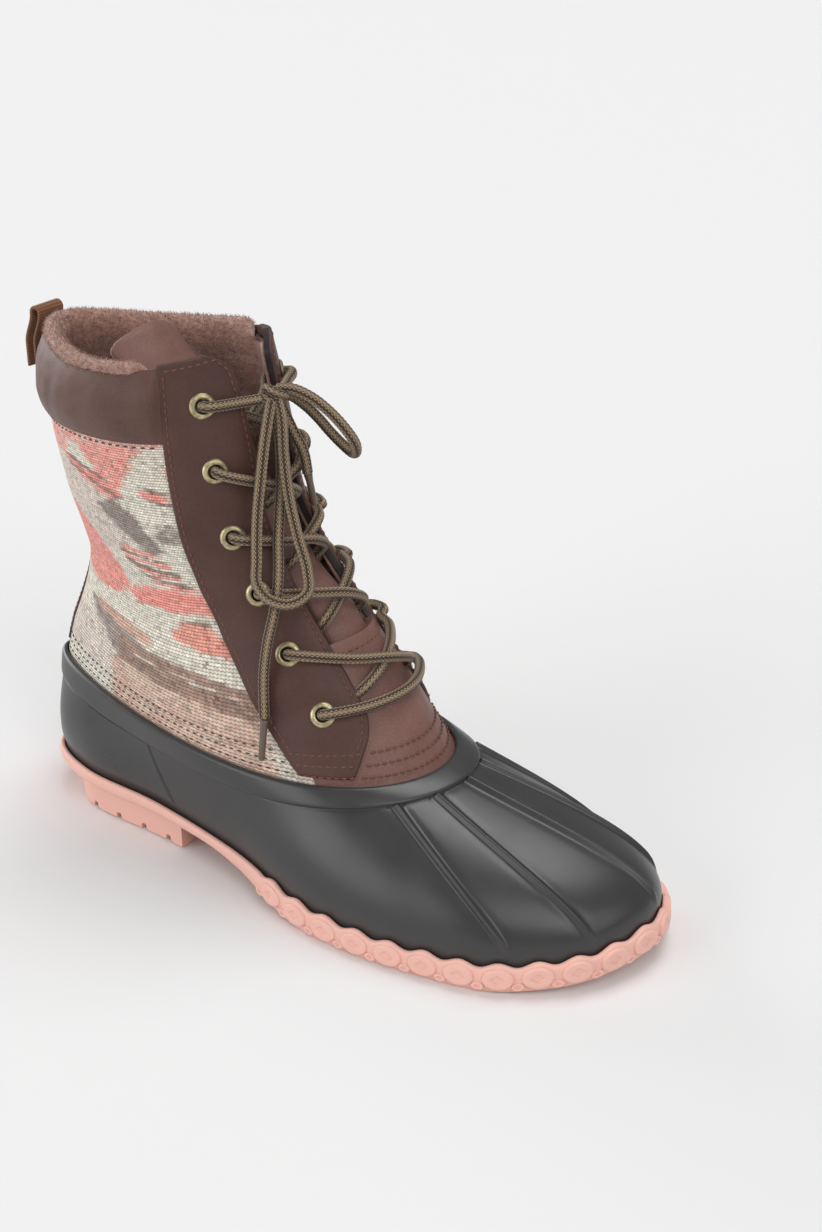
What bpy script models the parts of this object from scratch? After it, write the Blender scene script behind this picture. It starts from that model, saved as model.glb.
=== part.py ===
"""Lace-up boot with a moulded rubber bottom, right foot, built as separate pieces.

Sizes are millimetres until the last step, which writes metres. The toe points along +X,
the outer (lateral) side is -Y and +Z is up. A place on the boot is a turn and a level: the
turn runs round the boot in degrees, 0 at the heel, 90 lateral, 180 at the toe, 270 medial,
and the level runs up the shaft from the rubber's top edge, 0, to the collar, 1.
"""
from collections import namedtuple
import math

import bmesh
import bpy
from mathutils import Matrix, Vector
import numpy as np

# Driving sizes
MM = 0.001
FIT_GAP = 0.3
ORIGIN_X = 138.522
ORIGIN_Y = -3.272
UP = np.array([0.0, 0.0, 1.0])
LEVEL_PLANE = np.array([1.0, 1.0, 0.0])

RUBBER_WALL = 2.5
BAND_RELIEF = 1.3
BAND_INSET = 1.0
RIB_RELIEF = 1.0
RIB_HALF_WIDTH = 1.9
COUNTER_RELIEF = 0.8
UPPER_WALL = 2.5
UPPER_NEST = BAND_INSET + 0.6
NEST_LEVEL = 0.08
STAY_THICK = 1.7
LACE_RADIUS = 2.15
KNOT_RADIUS = 4.2
AGLET_RADIUS = 1.3

# The feather line, where the rubber shell meets the sole's rim
Station = namedtuple("Station", "turn x y z")
FEATHER = [
    Station(0, 0.3, 0, 20.8), Station(20, 6.2, -18.6, 20.8), Station(45, 31, -31, 20.6),
    Station(75, 75, -34.5, 19.6), Station(100, 120, -41.5, 16.8), Station(125, 168, -52.5, 11.8),
    Station(145, 212, -50.6, 10.9), Station(160, 248, -41, 12.5), Station(171, 272, -20, 15.5),
    Station(180, 281, 6, 18), Station(189, 274, 27, 15.5), Station(201, 250, 41, 12),
    Station(217, 210, 46.5, 9.5), Station(237, 165, 39, 10), Station(260, 118, 29, 16),
    Station(285, 75, 30, 19.4), Station(315, 31, 29.5, 20.6), Station(340, 6.2, 18.5, 20.8),
]

# Level rings of the shaft, from the rubber's top edge to the collar
Ring = namedtuple("Ring", "level back front lateral medial z_back z_side z_front egg")
SHAFT = [
    Ring(0.00, -5, 192, 40, 37, 58, 56.5, 58.5, 0.42),
    Ring(0.25, 17, 146, 31, 32, 108, 102, 114, 0.15),
    Ring(0.55, 9, 118, 34, 34, 146, 146, 150, 0.20),
    Ring(0.75, 4, 111, 36, 35, 170, 175, 180, 0.25),
    Ring(1.00, 7, 103, 34, 33, 205, 203, 211, 0.30),
]

# Handles of the shell's section curve at the back, side and front
Handles = namedtuple("Handles", "back side front")
SHELL_RISE = Handles(18, 15, 20)
SHELL_FLARE = Handles(3, 4, 3)
SHELL_DROP = Handles(12, 14, 13)
SHELL_REACH = 0.46

# The sole along its length: how far its bed lies under the feather line, and its underside
Sole = namedtuple("Sole", "x bed_drop bottom")
SOLE = [
    Sole(-8, 5.0, 14.0), Sole(40, 5.0, 13.4), Sole(86, 4.6, 13.0), Sole(110, 4.0, 11.4),
    Sole(125, 4.2, 8.2), Sole(142, 4.4, 3.0), Sole(156, 4.6, 0.4), Sole(166, 4.8, 0.0),
    Sole(228, 5.0, 0.0), Sole(262, 5.0, 2.4), Sole(290, 5.0, 7.5),
]
RIM_FOOT = 1.8
RIM_BELLY = 3.0
RIM_TOP = 2.5
RIM_GAP = 0.5
RIM_BELLY_SHARE = 0.55
SCALLOP_START_X = 138.0
SCALLOP_COUNT = 24
SCALLOP_HEIGHT = 2.2
SCALLOP_STEPS = 3
SOLE_REAR_COLUMNS = 15
HEEL_INSET = 1.0
HEEL_BACK_X = 10.5
HEEL_ROUND_X = 30.0
HEEL_BACK_SHARE = 0.3
HEEL_FRONT_X = 85.0
HEEL_ROUNDS = (HEEL_BACK_X, 11.4, 13.2, 25.5, HEEL_ROUND_X, 40.0, 55.0, HEEL_FRONT_X)
HEEL_NOTCHES = (18.0, 33.0, 47.5, 62.0, 76.5)
HEEL_NOTCH_WIDTH = 3.2
HEEL_NOTCH_DEPTH = 2.6
HEEL_NOTCH_DRAFT = 0.5
GROOVE_FIRST_X = 150.0
GROOVE_PITCH = 12.5
GROOVE_COUNT = 9
GROOVE_WIDTH = 3.0
GROOVE_DEPTH = 2.0
GROOVE_EDGE = 9.0
INSOLE_INSET = 3.9
INSOLE_THICK = 3.6
INSOLE_GAP = 0.45

# Ribs over the vamp: the turn of each at the band and at the sole
Rib = namedtuple("Rib", "top foot")
RIBS = [Rib(152, 160.5), Rib(166, 171), Rib(180, 182), Rib(194.5, 191), Rib(208.5, 200.5)]
Counter = namedtuple("Counter", "top foot")
COUNTER = Counter(72, 81)
BAND_FOOT = Handles(0.76, 0.755, 0.92)
BAND_STEP = 0.01
ShellRow = namedtuple("ShellRow", "share in_band")
SHELL_ROWS = [ShellRow(share, False) for share in (0.0, 0.16, 0.36, 0.56, 0.77, 1.0)]
SHELL_ROWS += [ShellRow(share, True) for share in (0.0, 0.5, 1.0)]
SHELL_HEEL_COLUMNS = 9
SHELL_SIDE_COLUMNS = 7
RELIEF_START = 0.05

# The eyestay beside the throat: turns of its outer and inner edges, lateral side
Stay = namedtuple("Stay", "level outer inner")
STAY = [
    Stay(0.012, 127.0, 144.0), Stay(0.045, 124.5, 150.5), Stay(0.075, 122.5, 156.5),
    Stay(0.105, 120.5, 159.5), Stay(0.15, 118.5, 159.5), Stay(0.205, 116.5, 158.5),
    Stay(0.26, 115.0, 158.0), Stay(0.34, 115.0, 159.5), Stay(0.45, 118.0, 163.5),
    Stay(0.56, 121.5, 166.5), Stay(0.70, 124.5, 168.0), Stay(0.80, 126.5, 168.5),
    Stay(0.90, 128.0, 167.5), Stay(0.985, 129.5, 163.0), Stay(1.02, 130.0, 154.0),
]
STAY_COLUMNS = 7
THROAT_SKEW = 6.0
VAMP_TOP = 0.205
THROAT_CELLS = 4
WALL_CELLS = 30
UPPER_LEVELS = (-0.05, 0.0, 0.05, 0.10, 0.155, VAMP_TOP, 0.26, 0.33, 0.42, 0.55, 0.68, 0.80, 1.0)
Eyelet = namedtuple("Eyelet", "level turn")
EYELETS = [
    Eyelet(0.869, 147.6), Eyelet(0.684, 146.5), Eyelet(0.508, 144.5),
    Eyelet(0.335, 140.0), Eyelet(0.205, 139.5), Eyelet(0.108, 142.9),
]
EYELET_BORE = 2.6
EYELET_TUBE = 3.1
EYELET_FLANGE = 5.0
EYELET_HOLE = 3.8
EYELET_SIDES = 8
HOLE_SIDES = 6
HOLE_DEPTH = 16.0
EYELET_SEAT = 0.5
EYELET_CROWN = 0.9

CUFF_SEAM = 0.765
Pad = namedtuple("Pad", "level thick")
CUFF_PAD = [
    Pad(CUFF_SEAM, 1.2), Pad(0.80, 3.4), Pad(0.86, 5.4), Pad(0.93, 5.2), Pad(0.985, 3.2), Pad(1.01, 1.5),
]
CUFF_EDGE_GAP = 0.9
CUFF_END_SHARE = 0.05
CUFF_END_PAD = 0.45
CUFF_COLUMNS = 22
BACK_STAY_TOP = 0.755
BACK_STAY_HALF = 6.0
BACK_STAY_THICK = 1.2

# The tongue: depth under the skin, how far it has fallen back, and its half width in turns
Tongue = namedtuple("Tongue", "level depth fall half")
TONGUE = [
    Tongue(0.10, 3.2, 0, 20), Tongue(0.20, 3.2, 0, 23), Tongue(0.30, 6.5, 0, 25),
    Tongue(0.45, 9, 0, 28), Tongue(0.60, 10, 3, 32), Tongue(0.70, 10, 11, 35),
    Tongue(0.80, 10, 22, 37), Tongue(0.90, 10, 36, 38), Tongue(0.97, 10, 46, 35),
    Tongue(1.01, 10, 52, 25),
]
TONGUE_ROWS = (0.10, 0.15, 0.20, 0.25, 0.32, 0.40, 0.50, 0.60, 0.69, 0.78, 0.87, 0.94, 0.985, 1.01)
TONGUE_TILT = 1.2
TONGUE_MOST_TILT = 50.0
TONGUE_THICK = 4.0
TONGUE_MIDDLE = 183.0
TONGUE_COLUMNS = 7

LOOP_WIDTH = 14.0
LOOP_TAPE = 1.3
LOOP_GAP = 3.0
LOOP_FOOT_Z = 186.0
LOOP_TOP_Z = 212.0
LOOP_LEAN = 4.0
LOOP_SEAT_LEVEL = 0.86

# The bow: knot, loops and ends as they lie over the throat
CORD_STEP = 2.8
KNOT = [(115.5, -4.5, 195), (116, -0.5, 195.5), (115.5, 3.5, 195)]
BOW = {
    "lace_loop_1": [
        (118.5, -7.4, 191), (119.5, -11.5, 183), (120.5, -16.5, 168.5), (122, -21.8, 152.5),
        (125, -26.8, 138.5), (127.5, -30.2, 131), (134, -31.2, 126.3), (141, -27, 124.8),
        (144, -20.5, 128), (141.5, -17, 134.5),
        (135.5, -14, 145), (129.5, -11, 158.5), (125.5, -8.5, 175), (122, -4, 190),
    ],
    "lace_end_1": [
        (116.5, -1.5, 188.3), (119.5, -3, 179), (122, -6, 168), (124.5, -11, 154),
        (127.5, -16.5, 143.5), (130, -20, 136), (132.8, -24.6, 128.4), (133.9, -28.8, 119.9),
        (133, -32, 109.5), (132.5, -34.5, 97.5), (135.5, -39.2, 80),
    ],
    "lace_loop_2": [
        (117.5, 5.9, 197.5), (121, 10, 195), (125, 15.5, 185), (128.5, 21, 173), (128, 23, 167),
        (124.5, 20.5, 168.5), (121.5, 15.5, 177), (119.5, 11, 186), (118.5, 8.8, 191.5),
    ],
    "lace_end_2": [(116.4, 3.4, 188.2), (119.7, 4.9, 180), (122.5, 7.5, 171), (123, 9, 162)],
}
AGLETS = {
    "aglet_1": [(135.6, -39.4, 79.4), (137.2, -44.2, 64)],
    "aglet_2": [(123.1, 9.1, 161.4), (124.6, 11, 148)],
}


# Curves through tables
def slopes(knots, values, keep_flat):
    """Slope at each knot of a smooth curve through rows of values."""
    steps = np.diff(knots)[:, None]
    chords = np.diff(values, axis=0) / steps
    inner = (chords[:-1] * steps[1:] + chords[1:] * steps[:-1]) / (steps[:-1] + steps[1:])
    if keep_flat:
        inner = np.where(chords[:-1] * chords[1:] <= 0.0, 0.0, inner)
    return np.vstack([chords[:1], inner, chords[-1:]])


def curve_at(knots, values, key, keep_flat=False):
    """Value at a key on the smooth curve through rows of values."""
    slope = slopes(knots, values, keep_flat)
    i = int(np.clip(np.searchsorted(knots, key, side="right") - 1, 0, len(knots) - 2))
    step = knots[i + 1] - knots[i]
    s = (key - knots[i]) / step
    start = values[i] * (2 * s ** 3 - 3 * s ** 2 + 1) + slope[i] * step * (s ** 3 - 2 * s ** 2 + s)
    return start + values[i + 1] * (3 * s ** 2 - 2 * s ** 3) + slope[i + 1] * step * (s ** 3 - s ** 2)


def table_at(rows, key, keep_flat=True):
    """Values of a table at a key of its first column."""
    data = np.array(rows, float)
    return curve_at(data[:, 0], data[:, 1:], key, keep_flat)


def wrapped(rows):
    """A table round the boot, with two rows repeated past each end."""
    data = np.array(rows, float)
    before, after = data[-2:].copy(), data[:2].copy()
    before[:, 0] -= 360.0
    after[:, 0] += 360.0
    return np.vstack([before, data, after])


FEATHER_LOOP = wrapped(FEATHER)
SHAFT_LEVELS = np.array([row.level for row in SHAFT])


def by_turn(turn, back, side, front):
    """A size that changes smoothly from the back over the sides to the front."""
    angle = math.radians(turn)
    middle = (back + front) / 2
    wave = (middle + side) / 2 + (middle - side) / 2 * math.cos(2 * angle)
    return wave + (back - front) / 2 * math.cos(angle)


# The last: surfaces of the boot
def feather(turn):
    """Point on the feather line."""
    return curve_at(FEATHER_LOOP[:, 0], FEATHER_LOOP[:, 1:], turn % 360.0)


def outward(turn):
    """Level direction that points out of the feather line."""
    ahead = feather(turn + 0.5) - feather(turn - 0.5)
    out = np.array([ahead[1], -ahead[0], 0.0])
    return out / np.linalg.norm(out)


def ring_point(ring, turn):
    """Point on one level ring of the shaft."""
    angle = math.radians(turn)
    c, s = math.cos(angle), math.sin(angle)
    half = ring.lateral if s > 0 else ring.medial
    x = (ring.back + ring.front) / 2 - (ring.front - ring.back) / 2 * c
    z = by_turn(turn, ring.z_back, ring.z_side, ring.z_front)
    return np.array([x, -half * s * (1 - ring.egg * c), z])


def shaft_point(turn, level):
    """Point on the shaft's skin."""
    return curve_at(SHAFT_LEVELS, np.array([ring_point(row, turn) for row in SHAFT]), level)


def shell_point(turn, rise):
    """Point on the rubber shell, from the feather line at rise 0 to its top edge at 1."""
    foot, top = feather(turn), ring_point(SHAFT[0], turn)
    low = foot + UP * by_turn(turn, *SHELL_RISE) + outward(turn) * by_turn(turn, *SHELL_FLARE)
    high = top + (foot - top) * LEVEL_PLANE * SHELL_REACH - UP * by_turn(turn, *SHELL_DROP)
    rest = 1 - rise
    return foot * rest ** 3 + 3 * low * rise * rest ** 2 + 3 * high * rise ** 2 * rest + top * rise ** 3


def lifted(surface, turn, level, height):
    """Point at a height over a surface, along its normal."""
    across = surface(turn + 0.6, level) - surface(turn - 0.6, level)
    along = surface(turn, level + 0.006) - surface(turn, level - 0.006)
    normal = np.cross(across, along)
    return surface(turn, level) + normal / np.linalg.norm(normal) * height


def skin_point(turn, level, height):
    """Point over the upper's skin, which sinks inside the rubber near and under its top edge."""
    if level < 0:
        return lifted(shell_point, turn, 1 + level, height - UPPER_NEST)
    sunk = UPPER_NEST * max(0.0, 1 - level / NEST_LEVEL)
    return lifted(shaft_point, turn, level, height - sunk)


# Solids from points
def material(name, colour, roughness, metallic=0.0):
    """Principled material with one colour."""
    made = bpy.data.materials.new(name)
    made.use_nodes = True
    shader = made.node_tree.nodes["Principled BSDF"]
    shader.inputs["Base Color"].default_value = (*colour, 1.0)
    shader.inputs["Roughness"].default_value = roughness
    shader.inputs["Metallic"].default_value = metallic
    return made


def placed(point):
    """A millimetre point in the part's own frame, in metres."""
    return Vector(((point[0] - ORIGIN_X) * MM, (point[1] - ORIGIN_Y) * MM, point[2] * MM))


def add_object(name, bm, finish, sharp_deg=35.0):
    """Link a mesh as a named object, smooth with sharp edges kept."""
    bmesh.ops.remove_doubles(bm, verts=bm.verts, dist=1e-7)
    bmesh.ops.recalc_face_normals(bm, faces=bm.faces)
    mesh = bpy.data.meshes.new(name)
    bm.to_mesh(mesh)
    bm.free()
    mesh.shade_smooth()
    mesh.set_sharp_from_angle(angle=math.radians(sharp_deg))
    if finish:
        mesh.materials.append(finish)
    made = bpy.data.objects.new(name, mesh)
    bpy.context.scene.collection.objects.link(made)
    return made


def add_cutter(name, bm):
    """Link a mesh that only shapes another object."""
    made = add_object(name, bm, None)
    made.hide_render = True
    made.display_type = "WIRE"
    return made


def boolean(target, tool, operation):
    """Join a tool to an object or cut it away."""
    modifier = target.modifiers.new(tool.name, "BOOLEAN")
    modifier.operation = operation
    modifier.solver = "EXACT"
    modifier.object = tool


def wall_mesh(outer, inner, keep=None):
    """Closed wall between two grids of points; keep(row, column) drops cells for an opening."""
    bm = bmesh.new()
    index = {}

    def vertex(point):
        spot = placed(point)
        key = tuple(round(value, 8) for value in spot)
        if key not in index:
            index[key] = bm.verts.new(spot)
        return index[key]

    front = [[vertex(point) for point in row] for row in outer]
    back = [[vertex(point) for point in row] for row in inner]
    partner = {}
    for row_front, row_back in zip(front, back):
        partner.update(zip(row_front, row_back))
    edges = []
    for i in range(len(front) - 1):
        for j in range(len(front[0]) - 1):
            if keep and not keep(i, j):
                continue
            loop = [front[i][j], front[i][j + 1], front[i + 1][j + 1], front[i + 1][j]]
            loop = [corner for k, corner in enumerate(loop) if corner is not loop[k - 1]]
            bm.faces.new(loop)
            bm.faces.new([partner[corner] for corner in reversed(loop)])
            edges += [(loop[k - 1], loop[k]) for k in range(len(loop))]
    paired = set(edges)
    for start, end in edges:
        if (end, start) not in paired:
            bm.faces.new([end, start, partner[start], partner[end]])
    for corner in [v for v in bm.verts if not v.link_faces]:
        bm.verts.remove(corner)
    return bm


def ladder_cap(bm, ring, upwards):
    """Fill a ring of vertices that starts at the heel with rungs from side to side."""
    count = len(ring)
    for k in range(count // 2):
        loop = [ring[k], ring[k + 1], ring[count - k - 1], ring[-k % count]]
        loop = [corner for i, corner in enumerate(loop) if corner is not loop[i - 1]]
        bm.faces.new(loop if upwards else loop[::-1])


def stacked_rings(rings):
    """Closed solid through rings of points that go round the boot, capped at both ends."""
    bm = bmesh.new()
    loops = [[bm.verts.new(placed(point)) for point in ring] for ring in rings]
    count = len(loops[0])
    for low, high in zip(loops, loops[1:]):
        for k in range(count):
            n = (k + 1) % count
            bm.faces.new([low[k], low[n], high[n], high[k]])
    ladder_cap(bm, loops[0], False)
    ladder_cap(bm, loops[-1], True)
    return bm


def tube_mesh(points, radius, sides):
    """Closed tube along points, with flat ends."""
    bm = bmesh.new()
    path = [placed(point) for point in points]
    side = None
    loops = []
    for i, centre in enumerate(path):
        ahead = (path[min(i + 1, len(path) - 1)] - path[max(i - 1, 0)]).normalized()
        guide = side if side else ahead.orthogonal()
        side = (guide - ahead * guide.dot(ahead)).normalized()
        other = ahead.cross(side)
        turns = [2 * math.pi * k / sides for k in range(sides)]
        spokes = [side * math.cos(a) + other * math.sin(a) for a in turns]
        loops.append([bm.verts.new(centre + spoke * radius * MM) for spoke in spokes])
    for low, high in zip(loops, loops[1:]):
        for k in range(sides):
            n = (k + 1) % sides
            bm.faces.new([low[k], low[n], high[n], high[k]])
    bm.faces.new(loops[0][::-1])
    bm.faces.new(loops[-1])
    return bm


def box_into(bm, low, high):
    """Add a box to a mesh, from its low corner to its high one."""
    centre = (placed(low) + placed(high)) / 2
    size = placed(high) - placed(low)
    bmesh.ops.create_cube(bm, size=1.0, matrix=Matrix.Translation(centre) @ Matrix.Diagonal((*size, 1.0)))


# Sole, insole and rubber shell
def sole_turns():
    """Turns of the sole's columns, closer together along the scalloped forefoot."""
    start = next(t for t in np.arange(90.0, 180.0, 0.25) if feather(t)[0] > SCALLOP_START_X)
    steps = SCALLOP_COUNT * SCALLOP_STEPS // 2
    lengths = np.linspace(start, 180.0, 400)
    points = np.array([feather(t) for t in lengths])
    run = np.concatenate([[0.0], np.cumsum(np.linalg.norm(np.diff(points, axis=0), axis=1))])
    front = np.interp(np.linspace(0.0, run[-1], steps + 1), run, lengths)
    rear = np.linspace(0.0, start, SOLE_REAR_COLUMNS, endpoint=False)
    half = np.concatenate([rear, front])
    scallops = np.abs(np.sin(np.arange(steps + 1) * math.pi / SCALLOP_STEPS))
    wave = np.concatenate([np.zeros(len(rear)), scallops])
    return np.concatenate([half, 360.0 - half[-2:0:-1]]), np.concatenate([wave, wave[-2:0:-1]])


def sole_at(turn):
    """Height of the sole's bed and of its underside beside the feather line."""
    x, _, z = feather(turn)
    bed_drop, bottom = table_at(SOLE, x)
    return z - bed_drop, max(0.0, bottom)


def sole_edge(turn, out, z):
    """Point at a distance outside the feather line."""
    point = feather(turn) + outward(turn) * out
    point[2] = z
    return point


def heel_block():
    """Heel under the sole's flange, with notches across its underside."""
    mouth = HEEL_NOTCH_WIDTH / 2
    root = mouth - HEEL_NOTCH_DRAFT
    notch = ((-mouth, 0.0), (-root, HEEL_NOTCH_DEPTH), (root, HEEL_NOTCH_DEPTH), (mouth, 0.0))
    stops = [(x + shift, depth) for x in HEEL_NOTCHES for shift, depth in notch]
    rounds = [(x, 0.0) for x in HEEL_ROUNDS]
    rows = sorted(stops + rounds, key=lambda row: row[0])
    sides = [np.array([feather(t) - outward(t) * HEEL_INSET for t in turns])
             for turns in (np.linspace(0, 90, 91), np.linspace(360, 270, 91))]
    inside = [sum(sole_at(t)) / 2 for t in np.linspace(0, 90, 91)]
    bm = bmesh.new()
    loops = []
    for x, z in rows:
        near = max(0.0, (HEEL_ROUND_X - x) / (HEEL_ROUND_X - HEEL_BACK_X))
        share = HEEL_BACK_SHARE + (1 - HEEL_BACK_SHARE) * math.sqrt(1 - near ** 2)
        lateral, medial = (np.interp(x, edge[:, 0], edge[:, 1]) * share for edge in sides)
        top = np.interp(x, sides[0][:, 0], inside)
        corners = [(x, lateral, z), (x, medial, z), (x, medial, top), (x, lateral, top)]
        loops.append([bm.verts.new(placed(corner)) for corner in corners])
    for low, high in zip(loops, loops[1:]):
        for k in range(4):
            n = (k + 1) % 4
            bm.faces.new([low[k], low[n], high[n], high[k]])
    bm.faces.new(loops[0])
    bm.faces.new(loops[-1])
    return add_cutter("heel_block", bm)


def forefoot_grooves():
    """Cross grooves of the forefoot tread, short of the rim."""
    bm = bmesh.new()
    turns = np.linspace(95, 178, 160)
    lateral = np.array([feather(t) for t in turns])
    medial = np.array([feather(360 - t) for t in turns])
    for k in range(GROOVE_COUNT):
        x = GROOVE_FIRST_X + k * GROOVE_PITCH
        low_y = np.interp(x, lateral[:, 0], lateral[:, 1]) + GROOVE_EDGE
        high_y = np.interp(x, medial[:, 0], medial[:, 1]) - GROOVE_EDGE
        floor = max(0.0, table_at(SOLE, x)[1])
        low = (x - GROOVE_WIDTH / 2, low_y, floor - 4.0)
        box_into(bm, low, (x + GROOVE_WIDTH / 2, high_y, floor + GROOVE_DEPTH))
    return add_cutter("forefoot_grooves", bm)


def build_outsole(finish):
    """Cup sole: bed, rim, heel block and tread grooves in one solid."""
    turns, wave = sole_turns()
    rings = [[] for _ in range(5)]
    for turn, scallop in zip(turns, wave):
        bed, bottom = sole_at(turn)
        top = feather(turn)[2] + SCALLOP_HEIGHT * (scallop - 0.5)
        belly = bottom + (top - bottom) * RIM_BELLY_SHARE
        rings[0].append(sole_edge(turn, RIM_FOOT, bottom))
        rings[1].append(sole_edge(turn, RIM_BELLY, belly))
        rings[2].append(sole_edge(turn, RIM_TOP, top))
        rings[3].append(sole_edge(turn, RIM_GAP, top))
        rings[4].append(sole_edge(turn, RIM_GAP, bed))
    outsole = add_object("outsole", stacked_rings(rings), finish)
    boolean(outsole, heel_block(), "UNION")
    boolean(outsole, forefoot_grooves(), "DIFFERENCE")


def build_insole(finish):
    """Flat insole on the sole's bed, inside the shell."""
    turns = sole_turns()[0][::2]
    beds = [sole_at(turn)[0] + INSOLE_GAP for turn in turns]
    low = [sole_edge(turn, -INSOLE_INSET, bed) for turn, bed in zip(turns, beds)]
    high = [point + UP * INSOLE_THICK for point in low]
    add_object("insole", stacked_rings([low, high]), finish)


def row_rise(row, turn):
    """Rise of a row of the shell, below the band's foot or in the band."""
    foot = by_turn(turn, *BAND_FOOT)
    if row.in_band:
        return foot + BAND_STEP + (1 - foot - BAND_STEP) * row.share
    return (foot - BAND_STEP) * row.share


def shell_columns(row):
    """Turns of the shell's columns in one row, with the relief of ribs and heel counter."""
    columns = []
    counter = COUNTER.foot + (COUNTER.top - COUNTER.foot) * row_rise(row, COUNTER.top)
    turns = [rib.foot + (rib.top - rib.foot) * row_rise(row, rib.top) for rib in RIBS]
    for mirror in (1, -1):
        plain = [(turn, 0.0) for turn in np.linspace(counter + 9, turns[0] - 6, SHELL_SIDE_COLUMNS)]
        heel = [(turn, COUNTER_RELIEF) for turn in np.linspace(0, counter - 0.8, SHELL_HEEL_COLUMNS)]
        side = heel + [(counter + 0.4, 0.0)] + plain
        columns += [(turn if mirror > 0 else 360 - turn, relief) for turn, relief in side]
    for turn in turns:
        rise = row_rise(row, turn)
        speed = np.linalg.norm(shell_point(turn + 0.5, rise) - shell_point(turn - 0.5, rise))
        half = RIB_HALF_WIDTH / speed
        columns += [(turn + half * share, relief * RIB_RELIEF)
                    for share, relief in ((-1, 0), (-0.4, 1), (0.4, 1), (1, 0))]
    columns += [((left + right) / 2, 0.0) for left, right in zip(turns, turns[1:])]
    columns = [column for column in columns if column[0] < 359.9]
    columns.sort(key=lambda column: column[0])
    return columns + [(360.0, columns[0][1])]


def build_shell(finish):
    """Rubber bottom: wall from the sole's bed to the band round its top edge."""
    outer, inner = [], []
    foot = [turn for turn, _ in shell_columns(SHELL_ROWS[0])]
    beds = [sole_at(turn)[0] + FIT_GAP for turn in foot]
    outer.append([sole_edge(turn, 0.0, bed) for turn, bed in zip(foot, beds)])
    inner.append([sole_edge(turn, -RUBBER_WALL, bed) for turn, bed in zip(foot, beds)])
    for row in SHELL_ROWS:
        depth = BAND_INSET if row.in_band else RUBBER_WALL
        row_outer, row_inner = [], []
        for turn, relief in shell_columns(row):
            rise = row_rise(row, turn)
            raised = BAND_RELIEF if row.in_band else relief * (rise > RELIEF_START)
            row_outer.append(lifted(shell_point, turn, rise, raised))
            row_inner.append(lifted(shell_point, turn, rise, -depth))
        outer.append(row_outer)
        inner.append(row_inner)
    add_object("rubber_shell", wall_mesh(outer, inner), finish, 50.0)


# Upper and the overlays on it
def stay_edges(level, lateral):
    """Turns of an eyestay's outer and inner edge at a level."""
    outer, inner = table_at(STAY, min(max(level, STAY[0].level), STAY[-1].level))
    return (outer, inner) if lateral else (360 - outer, 360 - inner + THROAT_SKEW)


def eyelet_places():
    """Name, turn and level of every eyelet."""
    for number, eyelet in enumerate(EYELETS, 1):
        yield f"lateral_{number}", eyelet.turn, eyelet.level
        yield f"medial_{number}", 360 - eyelet.turn, eyelet.level


def eyelet_frame(turn, level):
    """Matrix at an eyelet, its Z axis along the skin's normal."""
    base, tip = placed(skin_point(turn, level, 0)), placed(skin_point(turn, level, 1))
    turned = (tip - base).to_track_quat("Z", "Y").to_matrix().to_4x4()
    return Matrix.Translation(base) @ turned


def eyelet_holes():
    """Cutter with a round bar through every eyelet's place."""
    bm = bmesh.new()
    for _, turn, level in eyelet_places():
        radius = EYELET_HOLE * MM
        bmesh.ops.create_cone(bm, cap_ends=True, segments=HOLE_SIDES, radius1=radius, radius2=radius,
                              depth=HOLE_DEPTH * MM, matrix=eyelet_frame(turn, level))
    return add_cutter("eyelet_holes", bm)


def build_upper(finish, holes):
    """Hollow wall of quarters and vamp, open at the collar, the throat and underneath."""
    outer, inner = [], []
    for level in UPPER_LEVELS:
        edge_level = max(level, VAMP_TOP)
        lateral = stay_edges(edge_level, True)[1] - 1.0
        medial = stay_edges(edge_level, False)[1] + 1.0
        throat = np.linspace(lateral, medial, THROAT_CELLS + 1)
        wall = np.linspace(medial, lateral + 360, WALL_CELLS + 1)
        turns = [*throat, *wall[1:]]
        outer.append([skin_point(turn, level, 0.0) for turn in turns])
        inner.append([skin_point(turn, level, -UPPER_WALL) for turn in turns])
    closed_rows = UPPER_LEVELS.index(VAMP_TOP)
    bm = wall_mesh(outer, inner, lambda i, j: i < closed_rows or j >= THROAT_CELLS)
    boolean(add_object("upper", bm, finish), holes, "DIFFERENCE")


def overlay(ends, edges, columns, thick):
    """Wall over the skin between two edges; its rows are its own ends and the upper's between them."""
    between = [level for level in UPPER_LEVELS if ends[0] + 0.004 < level < ends[-1] - 0.004]
    outer, inner = [], []
    for level in sorted({*ends, *between}):
        start, end = edges(level)
        shares = np.linspace(0, 1, columns + 1)
        turns = start + (end - start) * shares
        outer.append([skin_point(t, level, FIT_GAP + thick(level, s)) for t, s in zip(turns, shares)])
        inner.append([skin_point(t, level, FIT_GAP) for t in turns])
    return wall_mesh(outer, inner)


def build_eyestays(finish, holes):
    """Leather strips beside the throat, with the eyelets' holes."""
    for side in ("lateral", "medial"):
        ends = (STAY[0].level, 0.075, 0.93, 0.985, STAY[-1].level)
        bm = overlay(ends, lambda level: stay_edges(level, side == "lateral"), STAY_COLUMNS,
                     lambda level, share: STAY_THICK)
        boolean(add_object(f"eyestay_{side}", bm, finish), holes, "DIFFERENCE")


def cuff_edges(level):
    """Turns where the cuff meets the eyestays, round the back."""
    medial, lateral = stay_edges(level, False)[0], stay_edges(level, True)[0]
    return medial + CUFF_EDGE_GAP, lateral + 360 - CUFF_EDGE_GAP


def cuff_thick(level, share):
    """Padding of the cuff, thinner where it runs under the eyestays' edges."""
    full = min(1.0, min(share, 1 - share) / CUFF_END_SHARE)
    thin = CUFF_PAD[0].thick
    return thin + (table_at(CUFF_PAD, level)[0] - thin) * (CUFF_END_PAD + (1 - CUFF_END_PAD) * full)


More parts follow.
